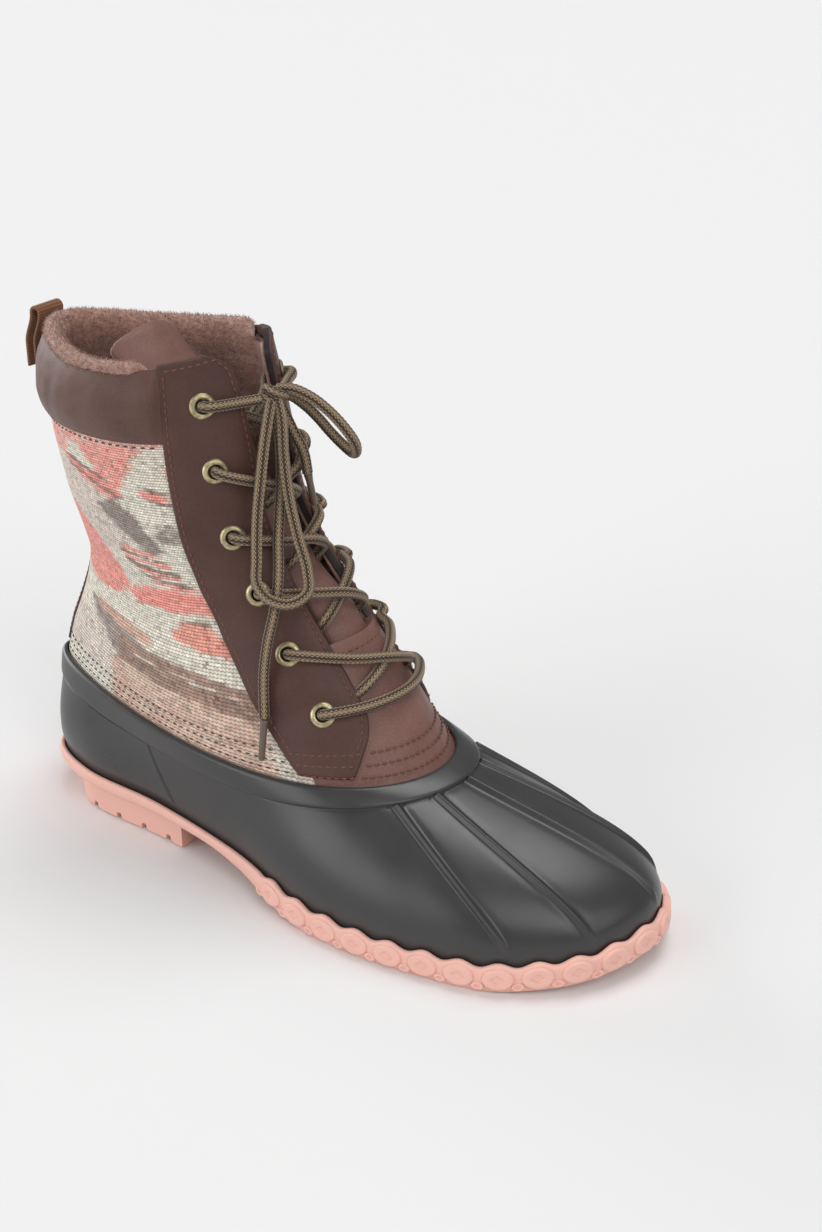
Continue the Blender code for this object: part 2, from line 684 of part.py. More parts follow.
def build_cuff(finish):
    """Padded collar cuff round the back of the shaft."""
    ends = (CUFF_SEAM, 0.78, 0.85, 0.95, 0.985, 1.01)
    add_object("collar_cuff", overlay(ends, cuff_edges, CUFF_COLUMNS, cuff_thick), finish, 60.0)


def build_back_stay(finish):
    """Narrow strip over the back seam."""
    bm = overlay((0.015, BACK_STAY_TOP), lambda level: (-BACK_STAY_HALF, BACK_STAY_HALF), 3,
                 lambda level, share: BACK_STAY_THICK)
    add_object("back_stay", bm, finish)


def tongue_point(level, share, height):
    """Point on the tongue; share runs from -1 to 1 across it."""
    depth, fall, half = table_at(TONGUE, level)
    point = skin_point(TONGUE_MIDDLE + half * share, level, -depth)
    tilt = math.radians(min(TONGUE_MOST_TILT, fall * TONGUE_TILT))
    ahead = skin_point(TONGUE_MIDDLE + half * share, level, -depth + 1) - point
    lean = np.array([ahead[0] * math.cos(tilt), ahead[1], ahead[2] + math.sin(tilt)])
    return point - np.array([fall, 0.0, 0.0]) + lean / np.linalg.norm(lean) * height


def build_tongue(finish):
    """Padded tongue under the throat, fallen back into the shaft at its top."""
    shares = np.linspace(-1, 1, TONGUE_COLUMNS)
    outer = [[tongue_point(level, share, 0.0) for share in shares] for level in TONGUE_ROWS]
    inner = [[tongue_point(level, share, -TONGUE_THICK) for share in shares] for level in TONGUE_ROWS]
    add_object("tongue", wall_mesh(outer, inner), finish, 60.0)


def build_pull_loop(finish):
    """Folded ribbon loop on the back of the cuff."""
    seat = skin_point(0.0, LOOP_SEAT_LEVEL, table_at(CUFF_PAD, LOOP_SEAT_LEVEL)[0] + 2 * FIT_GAP)[0]
    bow = LOOP_GAP / 2 + LOOP_TAPE
    straight = [(LOOP_FOOT_Z, 0.0), (LOOP_TOP_Z - 14, 0.0), (LOOP_TOP_Z - bow, LOOP_LEAN)]
    middle = seat - bow

    def legs(reach):
        turns = np.radians(np.linspace(0, 180, 7))
        crown = [(middle + LOOP_LEAN + reach * math.cos(a), LOOP_TOP_Z - bow + reach * math.sin(a))
                 for a in turns]
        rear = [(middle + lean - reach, z) for z, lean in straight[1::-1]]
        return [(middle + lean + reach, z) for z, lean in straight[:2]] + crown + rear

    across = (-LOOP_WIDTH / 2, LOOP_WIDTH / 2)
    outer = [[(x, y, z) for x, z in legs(bow)] for y in across]
    inner = [[(x, y, z) for x, z in legs(LOOP_GAP / 2)] for y in across]
    add_object("pull_loop", wall_mesh(outer, inner), finish, 50.0)


def build_eyelets(finish):
    """Brass eyelets: a flange on the eyestay and a tube through it and the upper."""
    under = FIT_GAP + STAY_THICK + EYELET_SEAT
    profile = [(EYELET_BORE, -UPPER_WALL), (EYELET_BORE, under + EYELET_CROWN), (EYELET_FLANGE, under),
               (EYELET_TUBE, under), (EYELET_TUBE, -UPPER_WALL)]
    for name, turn, level in eyelet_places():
        bm = bmesh.new()
        loops = []
        for k in range(EYELET_SIDES):
            a = 2 * math.pi * k / EYELET_SIDES
            spots = [Vector((r * math.cos(a), r * math.sin(a), z)) * MM for r, z in profile]
            loops.append([bm.verts.new(spot) for spot in spots])
        for k in range(EYELET_SIDES):
            near, far = loops[k], loops[(k + 1) % EYELET_SIDES]
            for i in range(len(profile)):
                n = (i + 1) % len(profile)
                bm.faces.new([near[i], far[i], far[n], near[n]])
        bm.transform(eyelet_frame(turn, level))
        add_object(f"eyelet_{name}", bm, finish, 60.0)


# Lace
OVER_STAY = FIT_GAP + STAY_THICK + LACE_RADIUS + 0.5
OVER_EYELET = OVER_STAY + 1.3
UNDER_EDGE = 0.6
UNDER_WALL = -(UPPER_WALL + LACE_RADIUS + 0.55)
UNDER_REACH = 6.0
OVER_VAMP = LACE_RADIUS + 0.7
EDGE_CLEAR = 4.6
LACE_SIDES = 6
TOP_BARS = {"lateral": (173.5, 0.848, 6.3), "medial": (187.5, 0.838, 5.2)}


def strand(start, end, rows):
    """Points of a lace strand between two places; rows give its share of the way and height."""
    points = []
    for share, height in rows:
        turn = start[0] + (end[0] - start[0]) * share
        level = start[1] + (end[1] - start[1]) * share
        points.append(skin_point(turn, level, height))
    return points


def throat_shares(start, end, clear):
    """Shares of a strand's way inside the eyestays' inner edges, or under them if clear is below 0."""
    level = (start[1] + end[1]) / 2
    from_lateral = start[0] < end[0]
    near, far = stay_edges(level, from_lateral)[1], stay_edges(level, not from_lateral)[1]
    inwards = clear if from_lateral else -clear
    return [(turn - start[0]) / (end[0] - start[0]) for turn in (near + inwards, far - inwards)]


def build_lace_runs(finish):
    """Bars and crossings of the lace, from eyelet to eyelet."""
    places = {name: (turn, level) for name, turn, level in eyelet_places()}
    bar_rows = [(0.0, OVER_EYELET), (0.1, OVER_EYELET), (0.22, OVER_STAY), (0.5, OVER_STAY),
                (0.78, OVER_STAY), (0.9, OVER_EYELET), (1.0, OVER_EYELET)]
    low = strand(places["lateral_6"], places["medial_6"], bar_rows)
    add_object("lace_bar_low", tube_mesh(low, LACE_RADIUS, LACE_SIDES), finish, 60.0)
    for number in range(1, 6):
        tubes = []
        for start, end in (("medial", "lateral"), ("lateral", "medial")):
            way = places[f"{start}_{number + 1}"], places[f"{end}_{number}"]
            first, over = throat_shares(*way, EDGE_CLEAR)
            under = OVER_VAMP if number == len(EYELETS) - 1 else UNDER_EDGE
            rows = [(first, under), ((first + over) / 2, (under + OVER_STAY) / 2), (over, OVER_STAY),
                    (over + 0.14, OVER_STAY), (0.9, OVER_EYELET), (1.0, OVER_EYELET)]
            if number == 1:
                first, over = throat_shares(*way, -UNDER_REACH)
                rows = [(first, UNDER_WALL), ((first + over) / 2, UNDER_WALL + 1.0), (over, UNDER_WALL)]
            tubes.append(tube_mesh(strand(*way, rows), LACE_RADIUS, LACE_SIDES))
        crossing = add_object(f"lace_crossing_{number}", tubes[0], finish, 60.0)
        boolean(crossing, add_cutter(f"lace_strand_{number}", tubes[1]), "UNION")


def build_top_bars(finish):
    """Lace from the top eyelets to the knot."""
    for side, (turn, level, height) in TOP_BARS.items():
        eyelet = next(place for place in eyelet_places() if place[0] == f"{side}_1")
        shares = ((0.0, OVER_EYELET), (0.14, OVER_EYELET), (0.45, OVER_STAY), (0.8, OVER_STAY), (1.0, height))
        points = strand(eyelet[1:], (turn, level), shares)
        add_object(f"lace_bar_top_{side}", tube_mesh(points, LACE_RADIUS, LACE_SIDES), finish, 60.0)


def add_cord(name, route, radius, finish):
    """Free cord along a smooth curve through its route, as a round curve with closed ends."""
    points = np.array(route, float)
    run = np.concatenate([[0.0], np.cumsum(np.linalg.norm(np.diff(points, axis=0), axis=1))])
    count = max(3, round(run[-1] / (CORD_STEP * 2 * radius)) + 1)
    curve = bpy.data.curves.new(name, "CURVE")
    curve.dimensions = "3D"
    curve.bevel_depth = radius * MM
    curve.bevel_resolution = 2
    curve.use_fill_caps = True
    spline = curve.splines.new("POLY")
    spline.points.add(count - 1)
    for spot, length in zip(spline.points, np.linspace(0.0, run[-1], count)):
        spot.co = (*placed(curve_at(run, points, length)), 1.0)
    curve.materials.append(finish)
    made = bpy.data.objects.new(name, curve)
    bpy.context.scene.collection.objects.link(made)


def build_bow(braid, tip):
    """Knot, two loops and two ends with their tips."""
    add_cord("lace_knot", KNOT, KNOT_RADIUS, braid)
    for name, route in BOW.items():
        add_cord(name, route, LACE_RADIUS, braid)
    for name, ends in AGLETS.items():
        add_object(name, tube_mesh(ends, AGLET_RADIUS, 8), tip, 60.0)


def main():
    """Clear the scene and build every piece."""
    for old in list(bpy.data.objects):
        bpy.data.objects.remove(old, do_unlink=True)
    pink = material("pink_rubber", (0.86, 0.48, 0.39), 0.55)
    black = material("black_rubber", (0.03, 0.03, 0.032), 0.35)
    cloth = material("blanket_cloth", (0.45, 0.33, 0.28), 0.9)
    leather = material("brown_leather", (0.10, 0.05, 0.04), 0.5)
    ribbon = material("caramel_ribbon", (0.27, 0.13, 0.06), 0.8)
    felt = material("felt_insole", (0.25, 0.15, 0.12), 0.95)
    brass = material("antique_brass", (0.40, 0.33, 0.19), 0.35, 1.0)
    braid = material("lace_braid", (0.16, 0.11, 0.07), 0.85)
    tip = material("aglet_plastic", (0.12, 0.09, 0.07), 0.4)
    build_outsole(pink)
    build_insole(felt)
    build_shell(black)
    holes = eyelet_holes()
    build_upper(cloth, holes)
    build_eyestays(leather, holes)
    build_cuff(leather)
    build_back_stay(leather)
    build_tongue(leather)
    build_pull_loop(ribbon)
    build_eyelets(brass)
    build_lace_runs(braid)
    build_top_bars(braid)
    build_bow(braid, tip)


main()
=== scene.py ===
"""Looks of a laced boot with a moulded rubber bottom, right foot.

Sizes are millimetres in the boot's own frame, and `placed` turns them into the part's metres. The
toe points along +X, the outer (lateral) side is -Y and +Z is up. A place on the boot is a turn and
a level: the turn runs round the boot in degrees, 0 at the heel, 90 lateral, 180 at the toe, 270
medial, and the level runs up the shaft from the rubber's top edge, 0, to the collar, 1.
"""

from dataclasses import dataclass
from enum import Enum
import logging
import math
from typing import Callable, NamedTuple

import bmesh
import bpy
from mathutils import Matrix, Vector
import numpy as np


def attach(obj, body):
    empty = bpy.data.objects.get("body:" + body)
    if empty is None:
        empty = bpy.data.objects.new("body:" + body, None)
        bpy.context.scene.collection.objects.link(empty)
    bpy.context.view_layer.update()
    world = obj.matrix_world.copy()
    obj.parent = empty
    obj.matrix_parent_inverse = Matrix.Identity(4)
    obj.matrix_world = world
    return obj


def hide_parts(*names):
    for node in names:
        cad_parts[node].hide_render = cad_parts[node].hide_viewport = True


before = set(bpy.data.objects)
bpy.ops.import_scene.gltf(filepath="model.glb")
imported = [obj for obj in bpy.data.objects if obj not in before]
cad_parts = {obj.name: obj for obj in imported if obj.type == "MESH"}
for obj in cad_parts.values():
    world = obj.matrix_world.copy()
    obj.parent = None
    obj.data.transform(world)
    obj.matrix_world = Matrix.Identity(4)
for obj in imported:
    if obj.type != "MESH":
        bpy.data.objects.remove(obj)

LOG = logging.getLogger("boot")
MM = 0.001
ORIGIN = np.array([138.522, -3.272, 0.0])
UP = np.array([0.0, 0.0, 1.0])
LEVEL_PLANE = np.array([1.0, 1.0, 0.0])
Array = np.ndarray
ArrayPair = tuple[np.ndarray, np.ndarray]
Pair = tuple[float, float]
Piece = bpy.types.Object
Tree = bpy.types.NodeTree
Surface3 = Callable[[Array, Array], Array]


class Station(NamedTuple):
    """A point of the feather line, where the rubber shell meets the sole's rim."""

    turn: float
    x: float
    y: float
    z: float


class Ring(NamedTuple):
    """A level ring of the shaft."""

    level: float
    back: float
    front: float
    lateral: float
    medial: float
    z_back: float
    z_side: float
    z_front: float
    egg: float


class Handles(NamedTuple):
    """A size at the back, the sides and the front."""

    back: float
    side: float
    front: float


class Stay(NamedTuple):
    """Turns of an eyestay's two edges at a level, lateral side."""

    level: float
    outer: float
    inner: float


class Place(NamedTuple):
    """A place on the boot's skin."""

    turn: float
    level: float


class Crease(NamedTuple):
    """A soft fold in the shaft between two places; a trough has a depth below 0."""

    start: Place
    end: Place
    width: float
    depth: float


class Side(Enum):
    """The two sides of the boot."""

    LATERAL = "lateral"
    MEDIAL = "medial"


FEATHER = (
    Station(0, 0.3, 0, 20.8), Station(20, 6.2, -18.6, 20.8), Station(45, 31, -31, 20.6),
    Station(75, 75, -34.5, 19.6), Station(100, 120, -41.5, 16.8), Station(125, 168, -52.5, 11.8),
    Station(145, 212, -50.6, 10.9), Station(160, 248, -41, 12.5), Station(171, 272, -20, 15.5),
    Station(180, 281, 6, 18), Station(189, 274, 27, 15.5), Station(201, 250, 41, 12),
    Station(217, 210, 46.5, 9.5), Station(237, 165, 39, 10), Station(260, 118, 29, 16),
    Station(285, 75, 30, 19.4), Station(315, 31, 29.5, 20.6), Station(340, 6.2, 18.5, 20.8),
)
SHAFT = (
    Ring(0.00, -5, 192, 40, 37, 58, 56.5, 58.5, 0.42), Ring(0.25, 17, 146, 31, 32, 108, 102, 114, 0.15),
    Ring(0.55, 9, 118, 34, 34, 146, 146, 150, 0.20), Ring(0.75, 4, 111, 36, 35, 170, 175, 180, 0.25),
    Ring(1.00, 7, 103, 34, 33, 205, 203, 211, 0.30),
)
SHELL_RISE = Handles(18, 15, 20)
SHELL_FLARE = Handles(3, 4, 3)
SHELL_DROP = Handles(12, 14, 13)
SHELL_REACH = 0.46
UPPER_WALL = 2.5
UPPER_NEST = 1.6
NEST_LEVEL = 0.08
STAY = (
    Stay(0.012, 127.0, 144.0), Stay(0.045, 124.5, 150.5), Stay(0.075, 122.5, 156.5),
    Stay(0.105, 120.5, 159.5), Stay(0.15, 118.5, 159.5), Stay(0.205, 116.5, 158.5),
    Stay(0.26, 115.0, 158.0), Stay(0.34, 115.0, 159.5), Stay(0.45, 118.0, 163.5),
    Stay(0.56, 121.5, 166.5), Stay(0.70, 124.5, 168.0), Stay(0.80, 126.5, 168.5),
    Stay(0.90, 128.0, 167.5), Stay(0.985, 129.5, 163.0), Stay(1.02, 130.0, 154.0),
)
THROAT_SKEW = 6.0
VAMP_TOP = 0.205
CUFF_SEAM = 0.765
FIT_GAP = 0.3
STAY_THICK = 1.7
EDGE_SHARE = 0.35
STAY_LENGTH = 160.0
STAY_WIDTH = 30.0
SEAM_INSET = 2.4
CUFF_STITCH = 0.7755
CRISP_DEG = 50.0
EYELETS = (
    Place(147.6, 0.869), Place(146.5, 0.684), Place(144.5, 0.508),
    Place(140.0, 0.335), Place(139.5, 0.205), Place(142.9, 0.108),
)
EYELET_HOLE = 3.9
LACE_RADIUS = 2.15

# Folds that the photo shows in the shaft, ankle first
CREASES = (
    Crease(Place(58, 0.205), Place(113, 0.262), 5.0, -1.3),
    Crease(Place(66, 0.165), Place(108, 0.205), 6.0, 0.9),
    Crease(Place(28, 0.30), Place(78, 0.335), 7.0, -0.9),
    Crease(Place(100, 0.43), Place(117, 0.39), 4.5, -0.7),
    Crease(Place(121, 0.075), Place(131, 0.05), 3.0, -0.9),
    Crease(Place(120, 0.138), Place(149, 0.155), 4.5, 1.2),
    Crease(Place(122, 0.098), Place(138, 0.118), 4.0, -1.1),
    Crease(Place(300, 0.21), Place(246, 0.262), 5.0, -1.3),
    Crease(Place(330, 0.31), Place(285, 0.335), 7.0, -0.9),
)
# Rough lengths of one degree of turn and of one level, to size things across the skin
TURN_MM = 0.8
LEVEL_MM = 150.0


def slopes(knots: Array, values: Array, keep_flat: bool) -> Array:
    """Slope at each knot of a smooth curve through rows of values.

    Args:
        knots: Rising keys of the rows.
        values: One row for each knot.
        keep_flat: Whether the curve stays between its rows.

    Returns:
        One row of slopes for each knot.
    """
    steps = np.diff(knots).reshape(-1, *[1] * (values.ndim - 1))
    chords = np.diff(values, axis=0) / steps
    inner = (chords[:-1] * steps[1:] + chords[1:] * steps[:-1]) / (steps[:-1] + steps[1:])
    if keep_flat:
        inner = np.where(chords[:-1] * chords[1:] <= 0.0, 0.0, inner)
    return np.concatenate([chords[:1], inner, chords[-1:]])


def spline(knots: Array, values: Array, keys: Array, keep_flat: bool = False) -> Array:
    """Values on the smooth curve through rows of values.

    Args:
        knots: Rising keys of the rows.
        values: One row for each knot, or one row for each knot and key.
        keys: Keys to read the curve at.
        keep_flat: Whether the curve stays between its rows.

    Returns:
        One row of values for each key.
    """
    keys = np.asarray(keys, float)
    i = np.clip(np.searchsorted(knots, keys, side="right") - 1, 0, len(knots) - 2)
    slope = slopes(knots, values, keep_flat)

    def at(rows: Array, index: Array) -> Array:
        """Rows at the given knots."""
        spread = index[None, ..., None]
        return rows[index] if values.ndim == 2 else np.take_along_axis(rows, spread, 0)[0]

    step = (knots[i + 1] - knots[i])[..., None]
    s = (keys - knots[i])[..., None] / step
    start = at(values, i) * (2 * s ** 3 - 3 * s ** 2 + 1) + at(slope, i) * step * (s ** 3 - 2 * s ** 2 + s)
    return start + at(values, i + 1) * (3 * s ** 2 - 2 * s ** 3) + at(slope, i + 1) * step * (s ** 3 - s ** 2)


def table(rows: tuple, keys: Array) -> Array:
    """Values of a table at keys of its first column, one row for each key."""
    data = np.array(rows, float)
    return spline(data[:, 0], data[:, 1:], np.clip(keys, data[0, 0], data[-1, 0]), True)


def unit(vectors: Array) -> Array:
    """Vectors of length 1."""
    return vectors / np.maximum(np.linalg.norm(vectors, axis=-1, keepdims=True), 1e-12)


def run_of(points: Array) -> Array:
    """Length along a row of points up to each of them."""
    return np.concatenate([[0.0], np.cumsum(np.linalg.norm(np.diff(points, axis=0), axis=1))])


def smooth_line(route: Array, step: float) -> Array:
    """Points about a step apart on the smooth curve through a route.

    Args:
        route: Points that the curve runs through.
        step: Distance between its points.

    Returns:
        Points along the curve.
    """
    route = np.asarray(route, float)
    run = run_of(route)
    dense = spline(run, route, np.linspace(0.0, run[-1], int(run[-1] / step) * 4))
    length = run_of(dense)
    keys = np.linspace(0.0, length[-1], max(3, round(length[-1] / step) + 1))
    return np.stack([np.interp(keys, length, dense[:, axis]) for axis in range(3)], -1)


def fade(values: Array, start: float, end: float) -> Array:
    """0 at the start, 1 at the end and a soft step between."""
    s = np.clip((np.asarray(values, float) - start) / (end - start), 0.0, 1.0)
    return s * s * (3 - 2 * s)


def by_turn(turn: Array, size: Handles) -> Array:
    """A size that changes smoothly from the back over the sides to the front.

    Args:
        turn: Turns in degrees.
        size: The size at the back, the sides and the front.

    Returns:
        The size at each turn.
    """
    angle = np.radians(turn)
    middle = (size.back + size.front) / 2
    wave = (middle + size.side) / 2 + (middle - size.side) / 2 * np.cos(2 * angle)
    return wave + (size.back - size.front) / 2 * np.cos(angle)


def soft_noise(shape: tuple[int, int], passes: int, seed: int) -> Array:
    """Random lumps from about -1 to 1 on a grid, smoothed in passes.

    Args:
        shape: Rows and columns of the grid.
        passes: How often it is smoothed.
        seed: Seed of the draw.

    Returns:
        The grid of lumps.
    """
    values = np.random.default_rng(seed).normal(size=shape)
    for _ in range(passes):
        for axis in (0, 1):
            values = (np.roll(values, 1, axis) + 2 * values + np.roll(values, -1, axis)) / 4
    return values / np.abs(values).max()


class Last:
    """The boot's own surfaces, from the same tables as its solids."""

    def __init__(self) -> None:
        """Close the feather line into a loop and read the rings' levels."""
        rows = np.array(FEATHER, float)
        full_turn = np.array([360.0, 0.0, 0.0, 0.0])
        self.loop = np.vstack([rows[-2:] - full_turn, rows, rows[:2] + full_turn])
        self.levels = np.array([row.level for row in SHAFT])

    def feather(self, turn: Array) -> Array:
        """Points on the feather line."""
        return spline(self.loop[:, 0], self.loop[:, 1:], np.mod(turn, 360.0))

    def outward(self, turn: Array) -> Array:
        """Level directions that point out of the feather line."""
        ahead = self.feather(turn + 0.5) - self.feather(turn - 0.5)
        return unit(np.stack([ahead[..., 1], -ahead[..., 0], np.zeros(ahead.shape[:-1])], -1))

    def ring(self, row: Ring, turn: Array) -> Array:
        """Points on one level ring of the shaft.

        Args:
            row: The ring.
            turn: Turns on it.

        Returns:
            One point for each turn.
        """
        angle = np.radians(turn)
        c, s = np.cos(angle), np.sin(angle)
        half = np.where(s > 0, row.lateral, row.medial)
        x = (row.back + row.front) / 2 - (row.front - row.back) / 2 * c
        z = by_turn(turn, Handles(row.z_back, row.z_side, row.z_front))
        return np.stack([x, -half * s * (1 - row.egg * c), z], -1)

    def shaft(self, turn: Array, level: Array) -> Array:
        """Points on the shaft's skin."""
        return spline(self.levels, np.stack([self.ring(row, turn) for row in SHAFT]), level)

    def shell(self, turn: Array, rise: Array) -> Array:
        """Points on the rubber shell, from the feather line at rise 0 to its top edge at 1.

        Args:
            turn: Turns of the places.
            rise: Their rises.

        Returns:
            One point for each place.
        """
        foot, top = self.feather(turn), self.ring(SHAFT[0], turn)
        low = foot + UP * by_turn(turn, SHELL_RISE)[..., None]
        low = low + self.outward(turn) * by_turn(turn, SHELL_FLARE)[..., None]
        high = top + (foot - top) * LEVEL_PLANE * SHELL_REACH - UP * by_turn(turn, SHELL_DROP)[..., None]
        rise = np.asarray(rise, float)[..., None]
        rest = 1 - rise
        return foot * rest ** 3 + 3 * low * rise * rest ** 2 + 3 * high * rise ** 2 * rest + top * rise ** 3

    def over(self, surface: Surface3, turn: Array, level: Array, height: Array) -> Array:
        """Points at a height over a surface, along its normal.

        Args:
            surface: Gives points from turns and levels.
            turn: Turns of the places.
            level: Their levels.
            height: Their heights.

        Returns:
            One point for each place.
        """
        turn, level, height = np.broadcast_arrays(*(np.asarray(v, float) for v in (turn, level, height)))
        across = surface(turn + 0.6, level) - surface(turn - 0.6, level)
        along = surface(turn, level + 0.006) - surface(turn, level - 0.006)
        return surface(turn, level) + unit(np.cross(across, along)) * height[..., None]

    def fold(self, turn: Array, level: Array) -> Array:
        """Height of the soft folds at places on the shaft.

        Args:
            turn: Turns of the places.
            level: Their levels.

        Returns:
            One height for each place.
        """
        spot = np.stack([np.mod(turn, 360.0) * TURN_MM, level * LEVEL_MM], -1)
        height = np.zeros(spot.shape[:-1])
        for crease in CREASES:
            ends = np.array([crease.start, crease.end]) * (TURN_MM, LEVEL_MM)
            way = ends[1] - ends[0]
            share = np.clip((spot - ends[0]) @ way / (way @ way), 0.0, 1.0)
            away = np.linalg.norm(spot - ends[0] - share[..., None] * way, axis=-1)
            taper = 0.45 + 0.55 * np.sin(np.pi * share)
            height += crease.depth * np.exp(-(away / crease.width) ** 2) * taper
        return height

    def skin(self, turn: Array, level: Array, height: Array) -> Array:
        """Points over the upper's skin, which sinks inside the rubber near its top edge.

        Args:
            turn: Turns of the places.
            level: Their levels, below 0 behind the rubber.
            height: Their heights.

        Returns:
            One point for each place.
        """
        turn, level, height = np.broadcast_arrays(*(np.asarray(v, float) for v in (turn, level, height)))
        made = np.empty(turn.shape + (3,))
        low, high = level < 0, level >= 0
        made[low] = self.over(self.shell, turn[low], 1 + level[low], height[low] - UPPER_NEST)
        sunk = UPPER_NEST * np.maximum(0.0, 1 - level[high] / NEST_LEVEL)
        raised = height[high] - sunk + self.fold(turn[high], level[high])
        made[high] = self.over(self.shaft, turn[high], level[high], raised)
        return made

    def stay(self, level: Array, side: Side) -> ArrayPair:
        """Turns of an eyestay's outer and inner edge at levels.

        Args:
            level: The levels.
            side: The eyestay's side.

        Returns:
            Turns of its outer and of its inner edge.
        """
        edges = table(STAY, level)
        outer, inner = edges[..., 0], edges[..., 1]
        return (outer, inner) if side is Side.LATERAL else (360 - outer, 360 - inner + THROAT_SKEW)

    def eyelets(self) -> list[Place]:
        """Places of the twelve eyelets, lateral ones first."""
        return [*EYELETS, *(Place(360 - spot.turn, spot.level) for spot in EYELETS)]

    def off_eyelets(self, points: Array) -> Array:
        """Distance from points near the skin to the axis of the nearest eyelet.

        Args:
            points: The points.

        Returns:
            One distance for each point.
        """
        best = np.full(points.shape[:-1], np.inf)
        for spot in self.eyelets():
            base, tip = self.skin(spot.turn, spot.level, 0.0), self.skin(spot.turn, spot.level, 1.0)
            away = points - base
            best = np.minimum(best, np.linalg.norm(np.cross(away, tip - base), axis=-1))
        return best


LAST = Last()


class Part(Enum):
    """The parts of a wall's surface."""

    OUTER = 0
    INNER = 1
    EDGE = 2


@dataclass
class Wall:
    """A closed mesh in millimetres; part and cell say where each face and point came from."""

    points: Array
    faces: list
    part: Array | None = None
    cell: Array | None = None

    def only(self, part: Part) -> Array:
        """Which faces belong to one part."""
        return self.part == part.value


def wall(outer: Array, inner: Array, closed: bool = False, keep: Array | None = None) -> Wall:
    """Closed wall between two grids of points.

    Args:
        outer: Rows and columns of points on the side that is seen.
        inner: The same for the other side.
        closed: Whether the last column joins the first.
        keep: Which cells of the grid exist.

    Returns:
        The wall, with its open edges closed from side to side.
    """
    rows, columns = outer.shape[:2]
    index = np.arange(rows * columns).reshape(rows, columns)
    here, ahead = (index, np.roll(index, -1, 1)) if closed else (index[:, :-1], index[:, 1:])
    quads = np.stack([here[:-1], ahead[:-1], ahead[1:], here[1:]], -1)
    quads = quads.reshape(-1, 4) if keep is None else quads[keep]
    total = rows * columns
    starts, ends = quads.ravel(), np.roll(quads, -1, 1).ravel()
    lone = ~np.isin(starts * total + ends, ends * total + starts)
    rim = np.stack([ends[lone], starts[lone], starts[lone] + total, ends[lone] + total], -1)
    faces = np.concatenate([quads, quads[:, ::-1] + total, rim])
    part = np.repeat([0, 1, 2], [len(quads), len(quads), len(rim)])
    used, faces = np.unique(faces, return_inverse=True)
    points = np.concatenate([outer.reshape(-1, 3), inner.reshape(-1, 3)])[used]
    cell = np.stack(np.divmod(used % total, columns), -1)
    return Wall(points, faces.reshape(-1, 4).tolist(), part, cell)


def swept(loops: Array, capped: bool = False) -> Wall:
    """Skin over a row of closed loops.

    Args:
        loops: Points of each loop, as many in each.
        capped: Whether the first and the last loop are filled.

    Returns:
        The skin.
    """
    index = np.arange(loops.shape[0] * loops.shape[1]).reshape(loops.shape[:2])
    ahead = np.roll(index, -1, 1)
    faces = np.stack([index[:-1], ahead[:-1], ahead[1:], index[1:]], -1).reshape(-1, 4).tolist()
    if capped:
        faces += [index[0][::-1].tolist(), index[-1].tolist()]
    return Wall(loops.reshape(-1, 3), faces)


def bridged(left: Array, right: Array, across: int) -> Wall:
    """Closed slab between two side profiles.

    Args:
        left: Rows along the slab, each with the profile's points from its foot to its top.
        right: The same for the other side.
        across: How many points join the two sides over the top and under the foot.

    Returns:
        The slab.
    """
    shares = np.linspace(0.0, 1.0, across + 2)[1:-1, None]
    top = left[:, None, -1] * (1 - shares) + right[:, None, -1] * shares
    under = right[:, None, 0] * (1 - shares) + left[:, None, 0] * shares
    return swept(np.concatenate([left, top, right[:, ::-1], under], 1))


def lathe(profile: list[Pair], sides: int) -> Wall:
    """Closed shape from a closed profile of radius and height, turned round Z.

    Args:
        profile: Radius and height of its points.
        sides: How many sides the shape has.

    Returns:
        The shape.
    """
    angles = np.linspace(0.0, 2 * math.pi, sides, endpoint=False)
    ring = np.array([*profile, profile[0]])
    return swept(np.stack([ring[:, :1] * np.cos(angles), ring[:, :1] * np.sin(angles),
                           np.repeat(ring[:, 1:], sides, 1)], -1))


def placed(points: Array) -> Array:
    """Millimetre points of the boot's frame in the part's frame, in metres."""
    return (np.asarray(points, float) - ORIGIN) * MM


def make_piece(name: str, made: Wall, materials: list, picks: Array | None = None) -> Piece:
    """Link a mesh as a smooth object.

    Args:
        name: The piece's name.
        made: Its points and faces.
        materials: Its materials.
        picks: Which material each face has, the first if left out.

    Returns:
        The new object.
    """
    mesh = bpy.data.meshes.new(name)
    mesh.from_pydata(placed(made.points).tolist(), [], made.faces)
    for material in materials:
        mesh.materials.append(material)
    if picks is not None:
        mesh.polygons.foreach_set("material_index", np.asarray(picks, np.int32))
    mesh.shade_smooth()
    mesh.update()
    piece = bpy.data.objects.new(name, mesh)
    bpy.context.scene.collection.objects.link(piece)
    return piece


def merge_and_turn(piece: Piece, sharp_deg: float) -> None:
    """Merge doubled points, drop empty faces and turn all faces outwards.

    Args:
        piece: The piece.
        sharp_deg: Edges sharper than this stay crisp.
    """
    work = bmesh.new()
    work.from_mesh(piece.data)
    bmesh.ops.remove_doubles(work, verts=work.verts, dist=1e-6)
    bmesh.ops.dissolve_degenerate(work, edges=work.edges, dist=1e-7)
    bmesh.ops.recalc_face_normals(work, faces=work.faces)
    work.to_mesh(piece.data)
    work.free()
    piece.data.shade_smooth()
    piece.data.set_sharp_from_angle(angle=math.radians(sharp_deg))


def give_uv(piece: Piece, coordinates: Array) -> None:
    """Give each point of a piece its place in a pattern.

    Args:
        piece: The piece.
        coordinates: Two numbers for each point.
    """
    mesh = piece.data
    corners = np.empty(len(mesh.loops), np.int32)
    mesh.loops.foreach_get("vertex_index", corners)
    layer = mesh.uv_layers.new(name="pattern")
    layer.data.foreach_set("uv", np.asarray(coordinates, np.float32)[corners].ravel())


